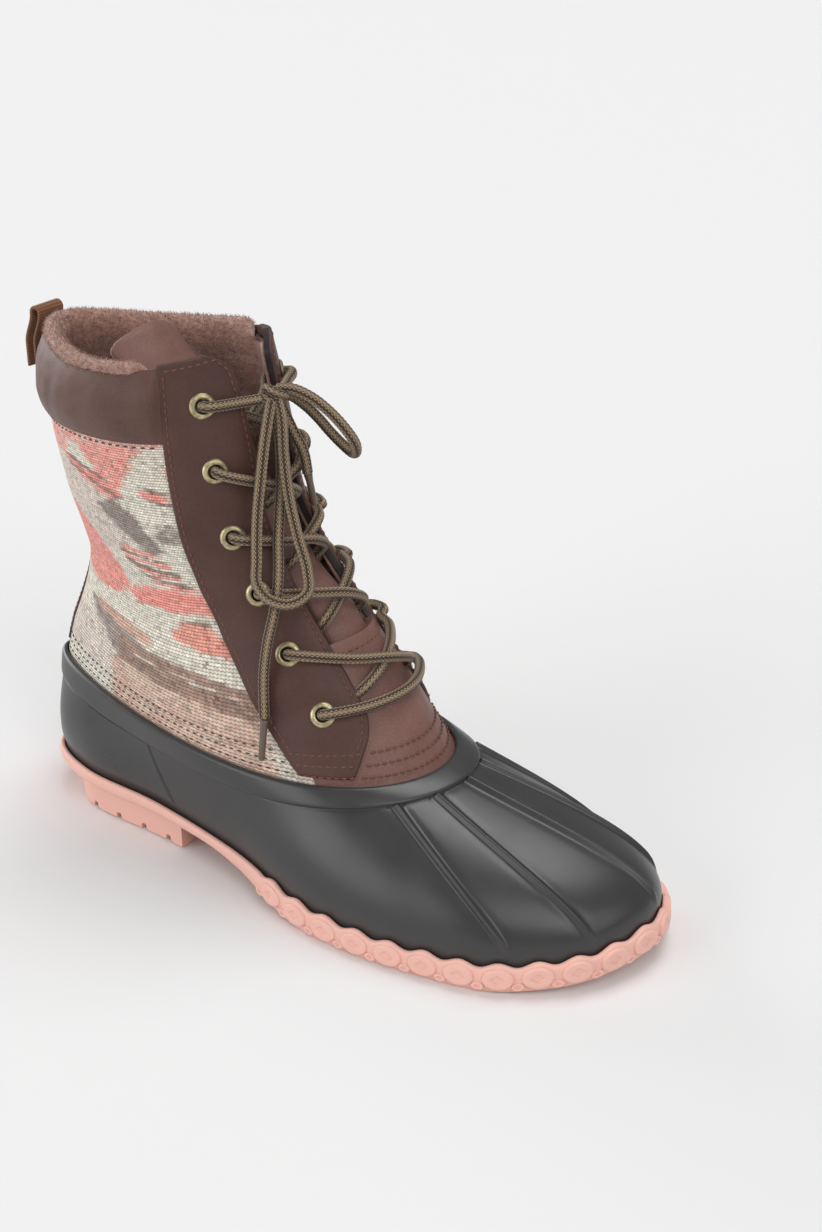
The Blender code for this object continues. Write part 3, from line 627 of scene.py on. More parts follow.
def give_yarn(piece: Piece, colours: Array) -> None:
    """Give each face of a piece its yarn's colour."""
    filled = np.concatenate([colours, np.ones((len(colours), 1))], 1).astype(np.float32)
    piece.data.attributes.new("yarn", "FLOAT_COLOR", "FACE").data.foreach_set("color", filled.ravel())


def dress(piece: Piece, slot: str, *nodes: str) -> None:
    """Put a piece on the part's body, hide the solids that it stands for, and report it.

    Args:
        piece: The piece.
        slot: The finish slot; not used.
        nodes: The solids.
    """
    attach(piece, "root")
    if nodes:
        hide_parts(*nodes)
    LOG.info("%s: %d faces", piece.name, len(piece.data.polygons))


def linear(colour: str) -> tuple[float, float, float]:
    """An sRGB hex colour as linear red, green and blue."""
    parts = [int(colour[k:k + 2], 16) / 255 for k in (1, 3, 5)]
    return tuple(p / 12.92 if p <= 0.04045 else ((p + 0.055) / 1.055) ** 2.4 for p in parts)


def rgba(colour: str) -> tuple[float, float, float, float]:
    """An sRGB hex colour as a linear socket value."""
    return (*linear(colour), 1.0)


def plug(tree: Tree, node: bpy.types.Node, inputs: dict) -> None:
    """Set a node's inputs.

    Args:
        tree: The node's tree.
        node: The node.
        inputs: Its values by input, or what is linked there: an output, or a node for its first one.
    """
    for name, value in inputs.items():
        if isinstance(value, bpy.types.Node):
            value = value.outputs[0]
        if isinstance(value, bpy.types.NodeSocket):
            tree.links.new(value, node.inputs[name])
        else:
            node.inputs[name].default_value = value


def add_node(tree: Tree, kind: str, inputs: dict | None = None, **settings: object) -> bpy.types.Node:
    """Add a node to a tree.

    Args:
        tree: The tree.
        kind: The node's type.
        inputs: Its inputs, as plug takes them.
        settings: Values of its properties.

    Returns:
        The node.
    """
    node = tree.nodes.new(kind)
    for name, value in settings.items():
        setattr(node, name, value)
    plug(tree, node, inputs or {})
    return node


def scale_of(size_mm: float) -> float:
    """Texture scale at which a pattern has a size in millimetres."""
    return 1.0 / (size_mm * MM)


@dataclass(frozen=True)
class Finish:
    """A material and the record's slot that it belongs to."""

    name: str
    slot: str

    def shade(self, tree: Tree) -> dict:
        """Set up the shader's nodes.

        Args:
            tree: The material's tree.

        Returns:
            Inputs of the surface shader, as plug takes them.
        """
        raise NotImplementedError

    def material(self) -> bpy.types.Material:
        """The Blender material, made on first use.

        Returns:
            The material.
        """
        found = bpy.data.materials.get(self.name)
        if found:
            return found
        made = bpy.data.materials.new(self.name)
        made.use_nodes = True
        tree = made.node_tree
        plug(tree, tree.nodes["Principled BSDF"], self.shade(tree))
        return made


@dataclass(frozen=True)
class MouldedRubber(Finish):
    """Rubber from a smooth mould: satin, with cloudy bloom and a faint pebble."""

    dark: str = "#303030"
    light: str = "#3A3939"
    rough: Pair = (0.27, 0.38)
    bloom_mm: float = 26.0
    pebble_mm: float = 0.5
    pebble_height_mm: float = 0.02

    def shade(self, tree: Tree) -> dict:
        """Cloudy colour and roughness over a pebble, drawn coarser than real so that it shows.

        Args:
            tree: The material's tree.

        Returns:
            Inputs of the surface shader, as plug takes them.
        """
        spot = add_node(tree, "ShaderNodeTexCoord").outputs["Object"]
        bloom = add_node(tree, "ShaderNodeTexNoise", {
            "Vector": spot, "Scale": scale_of(self.bloom_mm), "Detail": 4.0, "Roughness": 0.6})
        pebble = add_node(tree, "ShaderNodeTexNoise", {
            "Vector": spot, "Scale": scale_of(self.pebble_mm), "Detail": 2.0})
        colour = add_node(tree, "ShaderNodeMix", {
            0: bloom, 6: rgba(self.dark), 7: rgba(self.light)}, data_type="RGBA")
        rough = add_node(tree, "ShaderNodeMapRange", {
            "Value": bloom, "From Min": 0.3, "From Max": 0.7,
            "To Min": self.rough[0], "To Max": self.rough[1]})
        bump = add_node(tree, "ShaderNodeBump", {
            "Height": pebble, "Strength": 0.5, "Distance": self.pebble_height_mm * MM})
        return {"Base Color": colour.outputs[2], "Roughness": rough, "Normal": bump}


@dataclass(frozen=True)
class GrainLeather(Finish):
    """Oiled full-grain leather: small creased cells with painted shade in the creases, and a waxy sheen."""

    dark: str = "#472F29"
    light: str = "#593D35"
    grain_mm: float = 1.0
    grain_height_mm: float = 0.05
    mottle_mm: float = 30.0
    rough: Pair = (0.42, 0.54)
    gloss: float = 0.3

    def shade(self, tree: Tree) -> dict:
        """Grain cells, drawn a little coarser than real so that they show, over mottled colour with painted
        shade in their creases.

        Args:
            tree: The material's tree.

        Returns:
            Inputs of the surface shader, as plug takes them.
        """
        spot = add_node(tree, "ShaderNodeTexCoord").outputs["Object"]
        mottle = add_node(tree, "ShaderNodeTexNoise", {
            "Vector": spot, "Scale": scale_of(self.mottle_mm), "Detail": 5.0, "Roughness": 0.62})
        warp = add_node(tree, "ShaderNodeTexNoise", {
            "Vector": spot, "Scale": scale_of(self.grain_mm * 2.5), "Detail": 2.0})
        bent = add_node(tree, "ShaderNodeVectorMath", {
            0: warp, 1: (0.0012, 0.0012, 0.0012), 2: spot}, operation="MULTIPLY_ADD")
        cells = add_node(tree, "ShaderNodeTexVoronoi", {
            "Vector": bent, "Scale": scale_of(self.grain_mm)}, feature="DISTANCE_TO_EDGE")
        crease = add_node(tree, "ShaderNodeMapRange", {
            "Value": cells, "From Min": 0.0, "From Max": 0.22}, interpolation_type="SMOOTHSTEP")
        pores = add_node(tree, "ShaderNodeTexNoise", {
            "Vector": spot, "Scale": scale_of(self.grain_mm * 0.35), "Detail": 2.0})
        height = add_node(tree, "ShaderNodeMath", {0: pores, 1: 0.5, 2: crease}, operation="MULTIPLY_ADD")
        # Painted shade: the colour darkens into the grain's creases
        tone = add_node(tree, "ShaderNodeMath", {0: crease, 1: 0.16, 2: mottle}, operation="MULTIPLY_ADD")
        fit = add_node(tree, "ShaderNodeMapRange", {"Value": tone, "From Min": 0.35, "From Max": 0.85})
        colour = add_node(tree, "ShaderNodeMix", {
            0: fit, 6: rgba(self.dark), 7: rgba(self.light)}, data_type="RGBA")
        rough = add_node(tree, "ShaderNodeMapRange", {
            "Value": mottle, "From Min": 0.3, "From Max": 0.7,
            "To Min": self.rough[0], "To Max": self.rough[1]})
        bump = add_node(tree, "ShaderNodeBump", {
            "Height": height, "Strength": 0.55, "Distance": self.grain_height_mm * MM})
        return {"Base Color": colour.outputs[2], "Roughness": rough,
                "Normal": bump, "Specular IOR Level": self.gloss}


@dataclass(frozen=True)
class WovenYarn(Finish):
    """Yarn in the colours of the piece's faces: matt, fuzzy, with rounded threads from its pattern."""

    thread_height_mm: float = 0.5
    fuzz_mm: float = 0.5
    slub: float = 1.0
    shadow: float = 0.4

    def shade(self, tree: Tree) -> dict:
        """Staggered threads, one row for each unit of the pattern, with painted shade in the gaps between
        them, and fuzz.

        Args:
            tree: The material's tree.

        Returns:
            Inputs of the surface shader, as plug takes them.
        """
        yarn = add_node(tree, "ShaderNodeAttribute", attribute_name="yarn")
        pattern = add_node(tree, "ShaderNodeUVMap", uv_map="pattern")
        spot = add_node(tree, "ShaderNodeTexCoord").outputs["Object"]
        axes = add_node(tree, "ShaderNodeSeparateXYZ", {"Vector": pattern})
        row = add_node(tree, "ShaderNodeMath", {0: axes.outputs["Y"]}, operation="FLOOR")
        shift = add_node(tree, "ShaderNodeMath", {
            0: row, 1: 0.5, 2: axes.outputs["X"]}, operation="MULTIPLY_ADD")
        waves = []
        for run, turn in ((axes.outputs["Y"], math.pi), (shift, math.pi * self.slub)):
            angle = add_node(tree, "ShaderNodeMath", {0: run, 1: turn}, operation="MULTIPLY")
            wave = add_node(tree, "ShaderNodeMath", {0: angle}, operation="SINE")
            waves.append(add_node(tree, "ShaderNodeMath", {0: wave}, operation="ABSOLUTE"))
        thread = add_node(tree, "ShaderNodeMath", {
            0: waves[1], 1: 0.8, 2: waves[0]}, operation="MULTIPLY_ADD")
        # Single fibres are too fine to show, so the fuzz is drawn coarser
        fuzz = add_node(tree, "ShaderNodeTexNoise", {
            "Vector": spot, "Scale": scale_of(self.fuzz_mm), "Detail": 3.0})
        height = add_node(tree, "ShaderNodeMath", {0: fuzz, 1: 0.6, 2: thread}, operation="MULTIPLY_ADD")
        # Painted shade: the yarn's colour darkens where the threads dip, down to the shadow share in the gaps
        depth = add_node(tree, "ShaderNodeMapRange", {
            "Value": height, "From Min": 0.75, "From Max": 1.6,
            "To Min": self.shadow, "To Max": 1.2})
        colour = add_node(tree, "ShaderNodeVectorMath", {0: yarn, "Scale": depth}, operation="SCALE")
        bump = add_node(tree, "ShaderNodeBump", {
            "Height": height, "Strength": 0.6, "Distance": self.thread_height_mm * MM})
        return {"Base Color": colour, "Normal": bump, "Roughness": 0.9,
                "Sheen Weight": 0.15, "Sheen Roughness": 0.5}


@dataclass(frozen=True)
class SoftPile(Finish):
    """Fleece or felt: matt fibre in clumps, lighter on the tips."""

    dark: str = "#845D4F"
    light: str = "#BC9180"
    clump_mm: float = 3.0
    fibre_mm: float = 0.6
    height_mm: float = 0.9

    def shade(self, tree: Tree) -> dict:
        """Clumps with fibre noise over them, drawn coarser than single fibres so that it shows.

        Args:
            tree: The material's tree.

        Returns:
            Inputs of the surface shader, as plug takes them.
        """
        spot = add_node(tree, "ShaderNodeTexCoord").outputs["Object"]
        clump = add_node(tree, "ShaderNodeTexNoise", {
            "Vector": spot, "Scale": scale_of(self.clump_mm), "Detail": 4.0, "Roughness": 0.7})
        fibre = add_node(tree, "ShaderNodeTexNoise", {
            "Vector": spot, "Scale": scale_of(self.fibre_mm), "Detail": 3.0, "Distortion": 0.6})
        height = add_node(tree, "ShaderNodeMath", {0: fibre, 1: 0.45, 2: clump}, operation="MULTIPLY_ADD")
        fit = add_node(tree, "ShaderNodeMapRange", {"Value": height, "From Min": 0.5, "From Max": 1.0})
        colour = add_node(tree, "ShaderNodeMix", {
            0: fit, 6: rgba(self.dark), 7: rgba(self.light)}, data_type="RGBA")
        bump = add_node(tree, "ShaderNodeBump", {
            "Height": height, "Strength": 0.8, "Distance": self.height_mm * MM})
        return {"Base Color": colour.outputs[2], "Normal": bump, "Roughness": 1.0,
                "Sheen Weight": 0.4, "Sheen Roughness": 0.6}


@dataclass(frozen=True)
class WornMetal(Finish):
    """Plated brass, tumbled to an antique tone: dull in patches and bright where it is rubbed."""

    dark: str = "#8A7E62"
    light: str = "#CBBE98"
    patch_mm: float = 2.2
    rough: Pair = (0.34, 0.52)

    def shade(self, tree: Tree) -> dict:
        """Patchy tone and gloss.

        Args:
            tree: The material's tree.

        Returns:
            Inputs of the surface shader, as plug takes them.
        """
        spot = add_node(tree, "ShaderNodeTexCoord").outputs["Object"]
        patch = add_node(tree, "ShaderNodeTexNoise", {
            "Vector": spot, "Scale": scale_of(self.patch_mm), "Detail": 4.0})
        fit = add_node(tree, "ShaderNodeMapRange", {"Value": patch, "From Min": 0.3, "From Max": 0.65})
        colour = add_node(tree, "ShaderNodeMix", {
            0: fit, 6: rgba(self.dark), 7: rgba(self.light)}, data_type="RGBA")
        rough = add_node(tree, "ShaderNodeMapRange", {
            "Value": patch, "From Min": 0.3, "From Max": 0.7,
            "To Min": self.rough[1], "To Max": self.rough[0]})
        return {"Base Color": colour.outputs[2], "Roughness": rough, "Metallic": 1.0}


@dataclass(frozen=True)
class Strand(Finish):
    """Waxed thread or moulded tip: one tone with fine streaks."""

    dark: str = "#5E3A2A"
    light: str = "#8C5C43"
    streak_mm: float = 0.8
    rough: float = 0.6

    def shade(self, tree: Tree) -> dict:
        """Streaks of two tones, drawn coarser than the real plies so that they show.

        Args:
            tree: The material's tree.

        Returns:
            Inputs of the surface shader, as plug takes them.
        """
        spot = add_node(tree, "ShaderNodeTexCoord").outputs["Object"]
        streak = add_node(tree, "ShaderNodeTexNoise", {
            "Vector": spot, "Scale": scale_of(self.streak_mm), "Detail": 3.0})
        colour = add_node(tree, "ShaderNodeMix", {
            0: streak, 6: rgba(self.dark), 7: rgba(self.light)}, data_type="RGBA")
        bump = add_node(tree, "ShaderNodeBump", {"Height": streak, "Strength": 0.4, "Distance": 0.1 * MM})
        return {"Base Color": colour.outputs[2], "Normal": bump, "Roughness": self.rough}


# Rubber from a polished mould: a broad satin highlight on black, nearly matt on pink
BLACK_RUBBER = MouldedRubber("moulded_black_rubber", "black_rubber")
PINK_RUBBER = MouldedRubber("moulded_pink_rubber", "pink_rubber", "#E9B2A3", "#F0BEB0",
                            (0.45, 0.58), 18.0, 0.6, 0.03)
# Oiled leather: fine grain under a dull waxy sheen; lighter copies stand in for the light on the vamp, tongue
# and cuff
LEATHER = GrainLeather("oiled_leather", "brown_leather")
# Painted light: the same leather made lighter for the vamp and tongue, which face the light
PAINTED_LIT_LEATHER = GrainLeather("soft_tongue_leather", "brown_leather", "#6C4C44", "#87635A", 1.3, 0.07)
# Painted light: the same leather a little lighter for the cuff, which takes more light than the eyestays
PAINTED_HALF_LIT_LEATHER = GrainLeather("padded_cuff_leather", "brown_leather", "#513831", "#67483F", 1.2, 0.06)
# Paint on a cut edge: black, smooth and a little glossy
EDGE_PAINT = Strand("edge_painted_backing", "brown_leather", "#171312", "#2A2220", 1.5, 0.38)
# Woven and felted wool: no highlight, soft at its edges
BLANKET = WovenYarn("woven_blanket_wool", "blanket_cloth")
FLEECE = SoftPile("sheared_fleece", "brown_leather")
FELT = SoftPile("felt", "felt_insole", "#8A6A60", "#B09084", 2.0, 0.5, 0.3)
# Tumbled brass: a metal gleam that is dull in patches
BRASS = WornMetal("antiqued_brass", "antique_brass")
# Tight polyester braid and ribbed ribbon: small threads with painted shade in their gaps
BRAID = WovenYarn("braided_lace", "lace_braid", 0.1, 0.4, 0.0, 0.8)
RIBBON = WovenYarn("grosgrain_ribbon", "caramel_ribbon", 0.25, 0.4, 0.0, 0.6)
# Moulded tips and waxed thread: short streaks with a faint shine
AGLET = Strand("moulded_lace_tip", "aglet_plastic", "#54463C", "#6C5C50", 1.2, 0.32)
LEATHER_THREAD = Strand("waxed_thread", "brown_leather", "#5A342A", "#7E4D3F")
CLOTH_THREAD = Strand("dark_waxed_thread", "blanket_cloth", "#35251F", "#56413A")


def new_tree(name: str, sockets: dict[str, str]) -> Tree:
    """An empty Geometry Nodes tree with named inputs and one geometry output.

    Args:
        name: The tree's name.
        sockets: Type of each named input.

    Returns:
        The tree.
    """
    tree = bpy.data.node_groups.new(name, "GeometryNodeTree")
    for label, kind in sockets.items():
        tree.interface.new_socket(label, in_out="INPUT", socket_type=kind)
    tree.interface.new_socket("Geometry", in_out="OUTPUT", socket_type="NodeSocketGeometry")
    return tree


def copies_tree() -> Tree:
    """Tree that sets a copy of a shape on each point, turned by the point's own directions.

    Returns:
        The tree, made on first use.
    """
    found = bpy.data.node_groups.get("place_copies")
    if found:
        return found
    tree = new_tree("place_copies", {
        "Geometry": "NodeSocketGeometry", "Copy": "NodeSocketObject", "Finish": "NodeSocketMaterial"})
    source = add_node(tree, "NodeGroupInput").outputs
    along, up = (add_node(tree, "GeometryNodeInputNamedAttribute", {"Name": name}, data_type="FLOAT_VECTOR")
                 for name in ("along", "up"))
    upright = add_node(tree, "FunctionNodeAlignRotationToVector", {"Vector": up}, axis="Z")
    turned = add_node(tree, "FunctionNodeAlignRotationToVector", {
        "Rotation": upright, "Vector": along}, axis="X", pivot_axis="Z")
    shape = add_node(tree, "GeometryNodeObjectInfo", {"Object": source["Copy"]})
    copies = add_node(tree, "GeometryNodeInstanceOnPoints", {
        "Points": source["Geometry"], "Instance": shape.outputs["Geometry"],
        "Rotation": turned})
    real = add_node(tree, "GeometryNodeRealizeInstances", {"Geometry": copies})
    dressed = add_node(tree, "GeometryNodeSetMaterial", {"Geometry": real, "Material": source["Finish"]})
    add_node(tree, "NodeGroupOutput", {"Geometry": dressed})
    return tree


def pile_tree() -> Tree:
    """Tree that adds fibres to a surface where its pile attribute says.

    Returns:
        The tree.
    """
    tree = new_tree("grow_pile", {
        "Geometry": "NodeSocketGeometry", "Finish": "NodeSocketMaterial", "Density": "NodeSocketFloat",
        "Length": "NodeSocketFloat", "Width": "NodeSocketFloat", "Seed": "NodeSocketInt"})
    source = add_node(tree, "NodeGroupInput").outputs
    pile = add_node(tree, "GeometryNodeInputNamedAttribute", {"Name": "pile"}, data_type="FLOAT")
    density = add_node(tree, "ShaderNodeMath", {0: source["Density"], 1: pile}, operation="MULTIPLY")
    spots = add_node(tree, "GeometryNodeDistributePointsOnFaces", {
        "Mesh": source["Geometry"], "Density": density, "Seed": source["Seed"]})
    tilt = add_node(tree, "FunctionNodeRandomValue", {
        "Min": (-0.8, -0.8, -3.1), "Max": (0.8, 0.8, 3.1), "Seed": source["Seed"]}, data_type="FLOAT_VECTOR")
    leaning = add_node(tree, "FunctionNodeRotateRotation", {
        "Rotation": spots.outputs["Rotation"], "Rotate By": tilt}, rotation_space="LOCAL")
    size = add_node(tree, "FunctionNodeRandomValue", {
        "Min": 0.55, "Max": 1.15, "Seed": source["Seed"]}, data_type="FLOAT")
    fibre = add_node(tree, "GeometryNodeMeshCone", {
        "Vertices": 3, "Radius Top": 0.0, "Radius Bottom": source["Width"],
        "Depth": source["Length"]}, fill_type="NONE")
    copies = add_node(tree, "GeometryNodeInstanceOnPoints", {
        "Points": spots, "Instance": fibre,
        "Rotation": leaning, "Scale": size.outputs[1]})
    both = add_node(tree, "GeometryNodeJoinGeometry", {"Geometry": copies})
    plug(tree, both, {"Geometry": source["Geometry"]})
    real = add_node(tree, "GeometryNodeRealizeInstances", {"Geometry": both})
    dressed = add_node(tree, "GeometryNodeSetMaterial", {"Geometry": real, "Material": source["Finish"]})
    add_node(tree, "NodeGroupOutput", {"Geometry": dressed})
    return tree


def run_tree(piece: Piece, tree: Tree, inputs: dict) -> None:
    """Run a tree on a piece and keep its result as the piece's plain mesh.

    Args:
        piece: The piece.
        tree: The tree.
        inputs: Values of its named inputs.
    """
    modifier = piece.modifiers.new(tree.name, "NODES")
    modifier.node_group = tree
    for item in tree.interface.items_tree:
        if item.in_out == "INPUT" and item.name in inputs:
            modifier[item.identifier] = inputs[item.name]
    bpy.context.view_layer.update()
    mesh = bpy.data.meshes.new_from_object(piece.evaluated_get(bpy.context.evaluated_depsgraph_get()))
    piece.modifiers.clear()
    old, piece.data = piece.data, mesh
    bpy.data.meshes.remove(old)
    mesh.name = piece.name


class Copies(NamedTuple):
    """Points with the directions that copies take on them."""

    points: Array
    along: Array
    up: Array


def set_copies(name: str, spots: Copies, shape: Wall, finish: Finish) -> Piece:
    """Make one piece of many copies of a small shape.

    Args:
        name: The piece's name.
        spots: Where the copies go.
        shape: The shape in millimetres about its own origin.
        finish: Its finish.

    Returns:
        The piece.
    """
    copy = make_piece(name + "_copy", Wall(shape.points + ORIGIN, shape.faces), [])
    merge_and_turn(copy, CRISP_DEG)
    mesh = bpy.data.meshes.new(name)
    mesh.from_pydata(placed(spots.points).tolist(), [], [])
    for label, vectors in (("along", spots.along), ("up", spots.up)):
        data = mesh.attributes.new(label, "FLOAT_VECTOR", "POINT").data
        data.foreach_set("vector", np.asarray(vectors, np.float32).ravel())
    piece = bpy.data.objects.new(name, mesh)
    bpy.context.scene.collection.objects.link(piece)
    run_tree(piece, copies_tree(), {"Copy": copy, "Finish": finish.material()})
    used = copy.data
    bpy.data.objects.remove(copy)
    bpy.data.meshes.remove(used)
    return piece


class LinkRow(NamedTuple):
    """Links along the rim: first step, half sizes, share of the rim's height and relief."""

    name: str
    first: int
    half: Pair
    share: float
    tall: float


@dataclass
class Outsole:
    """Cup sole of pink rubber: scalloped rim with chain links, heel block and link tread."""

    bed: tuple = ((-8, 5.0, 14.0), (40, 5.0, 13.4), (86, 4.6, 13.0), (110, 4.0, 11.4), (125, 4.2, 8.2),
                  (142, 4.4, 3.0), (156, 4.6, 0.4), (166, 4.8, 0.0), (228, 5.0, 0.0), (262, 5.0, 2.4),
                  (290, 5.0, 7.5))
    rim_foot: float = 1.8
    rim_belly: float = 3.0
    rim_top: float = 2.5
    rim_gap: float = 0.5
    scallop_start_x: float = 138.0
    scallops: int = 24
    scallop_height: float = 2.2
    scallop_steps: int = 14
    rear_columns: int = 90
    across: int = 26
    tread_depth: float = 0.9
    heel_inset: float = 1.0
    heel_ends: Pair = (10.5, 85.0)
    heel_round_x: float = 30.0
    heel_back_share: float = 0.3
    heel_marks: tuple = (10.5, 10.8, 11.3, 12.0, 13.0, 14.4, 22.0, 25.0, 28.0, 40.0, 55.0, 69.0, 81.0, 84.4)
    heel_section: tuple = ((0.0, 1.0), (0.012, 0.3), (0.03, 0.0), (0.25, 0.0), (0.5, 0.0), (0.75, 0.0),
                           (0.97, 0.0), (0.988, 0.3), (1.0, 1.0))
    heel_back_lifts: Pair = (0.9, 0.35)
    heel_front_lift: float = 0.6
    heel_notches: tuple = (18.0, 33.0, 47.5, 62.0, 76.5)
    notch_width: float = 3.2
    notch_depth: float = 2.6
    link_rows: tuple = (LinkRow("rim_links", 7, (6.1, 4.5), 0.53, 1.1),
                        LinkRow("rim_studs", 0, (2.6, 1.8), 0.26, 0.9))
    link_profile: tuple = ((1.0, 0.2), (0.97, 0.65), (0.9, 0.93), (0.8, 1.0), (0.56, 1.0), (0.48, 0.94),
                           (0.4, 0.5), (0.0, 0.4))
    link_sides: int = 16
    link_root: float = -0.8
    link_hollow: Pair = (0.7, 0.5)
    link_mid_share: float = 0.53
    link_sink: float = 0.25
    link_tilt: float = 0.04
    tread_pitch: float = 12.5
    tread_first_x: float = 156.0
    tread_inset: float = 6.5
    tread_width: float = 15.0
    tread_half: Pair = (6.4, 4.9)
    tread_relief: float = 0.85
    tread_sink: float = 0.95
    tread_rows: tuple[int, int] = (-1, 9)
    heel_link_shift: float = 7.3
    heel_link_inset: float = 1.5

    def half_turns(self) -> ArrayPair:
        """Turns from heel to toe along one side, and the scallop's height from 0 to 1 at each.

        Returns:
            The turns and the heights.
        """
        search = np.arange(90.0, 180.0, 0.25)
        start = search[np.argmax(LAST.feather(search)[:, 0] > self.scallop_start_x)]
        dense = np.linspace(start, 180.0, 400)
        run = run_of(LAST.feather(dense))
        count = self.scallops // 2 * self.scallop_steps
        front = np.interp(np.linspace(0.0, run[-1], count + 1), run, dense)
        rear = np.linspace(0.0, start, self.rear_columns, endpoint=False)
        wave = np.sin(np.arange(count + 1) * math.pi / self.scallop_steps) ** 2
        return np.concatenate([rear, front]), np.concatenate([np.full(len(rear), 0.25), wave])

    def levels(self, turn: Array) -> ArrayPair:
        """Height of the bed and of the underside beside the feather line.

        Args:
            turn: Turns along the feather line.

        Returns:
            Heights of the bed and of the underside.
        """
        spot = LAST.feather(turn)
        drop = table(self.bed, spot[..., 0])
        return spot[..., 2] - drop[..., 0], np.maximum(0.0, drop[..., 1])

    def edge(self, turn: Array, out: Array, z: Array) -> Array:
        """Points at a distance outside the feather line.

        Args:
            turn: Turns along the feather line.
            out: Distances outside it.
            z: Heights.

        Returns:
            One point for each turn.
        """
        point = LAST.feather(turn) + LAST.outward(turn) * np.asarray(out, float)[..., None]
        point[..., 2] = z
        return point

    def rim(self, turn: Array, wave: Array) -> Array:
        """Profile points of the rim, from its underside to the bed.

        Args:
            turn: Turns along the feather line.
            wave: The scallop's height at each.

        Returns:
            One row of points for each turn.
        """
        bed, bottom = self.levels(turn)
        top = LAST.feather(turn)[:, 2] + self.scallop_height * (wave - 0.5)
        tall = top - bottom
        rows = ((self.rim_foot - 2.2, bottom + self.tread_depth), (self.rim_foot - 1.6, bottom),
                (self.rim_foot - 0.5, bottom), (self.rim_foot, bottom + 0.5), (2.5, bottom + tall * 0.25),
                (self.rim_belly, bottom + tall * 0.55), (self.rim_top + 0.25, top - 1.1),
                (self.rim_top - 0.1, top - 0.35), (self.rim_top - 0.7, top), (self.rim_gap + 0.6, top),
                (self.rim_gap + 0.1, top - 0.3), (self.rim_gap, top - 0.9), (self.rim_gap, bed))
        return np.stack([self.edge(turn, np.full(len(turn), out), z) for out, z in rows], 1)

    def build(self) -> None:
        """Cup from heel to toe, between the rims of its two sides."""
        turns, wave = self.half_turns()
        made = bridged(self.rim(turns, wave), self.rim(360.0 - turns, wave), self.across)
        piece = make_piece("outsole_cup", made, [PINK_RUBBER.material()])
        merge_and_turn(piece, sharp_deg=40.0)
        dress(piece, PINK_RUBBER.slot, "outsole")

    def build_heel(self) -> None:
        """Heel block with rounded notches across its underside."""
        half, depth = self.notch_width / 2, self.notch_depth
        notch = ((-half - 0.4, 0.0), (-half, 0.25), (-half + 0.35, depth - 0.5), (-half + 0.8, depth),
                 (half - 0.8, depth), (half - 0.35, depth - 0.5), (half, 0.25), (half + 0.4, 0.0))
        plain = [(x, 0.0) for x in self.heel_marks]
        rows = sorted([(x + shift, z) for x in self.heel_notches for shift, z in notch] + plain)
        x = np.array([row[0] for row in rows] + [self.heel_ends[1]])
        z = np.array([row[1] for row in rows] + [self.heel_front_lift])
        z[:2] = self.heel_back_lifts
        turns = np.linspace(0.0, 90.0, 181)
        sides = [LAST.feather(t) - LAST.outward(t) * self.heel_inset for t in (turns, 360.0 - turns)]
        near = np.maximum(0.0, (self.heel_round_x - x) / (self.heel_round_x - self.heel_ends[0]))
        share = self.heel_back_share + (1 - self.heel_back_share) * np.sqrt(np.maximum(0.0, 1 - near ** 2))
        low, high = (np.interp(x, side[:, 0], side[:, 1]) * share for side in sides)
        top = np.interp(x, sides[0][:, 0], sum(self.levels(turns)) / 2)
        columns = [(low + (high - low) * part, np.minimum(z + lift, top)) for part, lift in self.heel_section]
        columns += [(high, top), (low, top)]
        loops = np.stack([np.stack([x, y, height], -1) for y, height in columns], 1)
        piece = make_piece("heel_block", swept(loops, True), [PINK_RUBBER.material()])
        merge_and_turn(piece, sharp_deg=35.0)
        dress(piece, PINK_RUBBER.slot, "outsole")

    def link(self, half: Pair, tall: float) -> Wall:
        """A rounded chain link with a hollow lozenge in its middle, seen from above.

        Args:
            half: Half its length and half its width.
            tall: Its relief.

        Returns:
            The link.
        """
        foot = [(0.0, self.link_root), (1.0, self.link_root)]
        made = lathe(foot + [(out, rise * tall) for out, rise in self.link_profile], self.link_sides)
        flat = made.points[:, :2]
        hollow = fade(np.linalg.norm(flat, axis=-1), *self.link_hollow)
        lozenge = 1.0 / np.abs(unit(flat + (1e-9, 0.0))).sum(-1)
        flat *= (1.0 + hollow * (lozenge - 1.0))[:, None] * half
        return made

    def build_rim_links(self) -> None:
        """One link on every scallop of the rim, and a small stud low between each two of them."""
        front = self.half_turns()[0][self.rear_columns:]
        for row in self.link_rows:
            side = front[row.first::self.scallop_steps]
            turns = np.concatenate([side, 360.0 - side[side < 179.9]])
            _, bottom = self.levels(turns)
            top = LAST.feather(turns)[:, 2] + self.scallop_height / 2
            up = unit(LAST.outward(turns) + UP * self.link_tilt)
            out = self.rim_belly - self.link_sink - abs(row.share - self.link_mid_share)
            points = self.edge(turns, np.full(len(turns), out), bottom + (top - bottom) * row.share)
            along = unit(LAST.feather(turns + 0.4) - LAST.feather(turns - 0.4))
            shape = self.link(row.half, row.tall)
            piece = set_copies(row.name, Copies(points, along, up), shape, PINK_RUBBER)
            dress(piece, PINK_RUBBER.slot, "outsole")

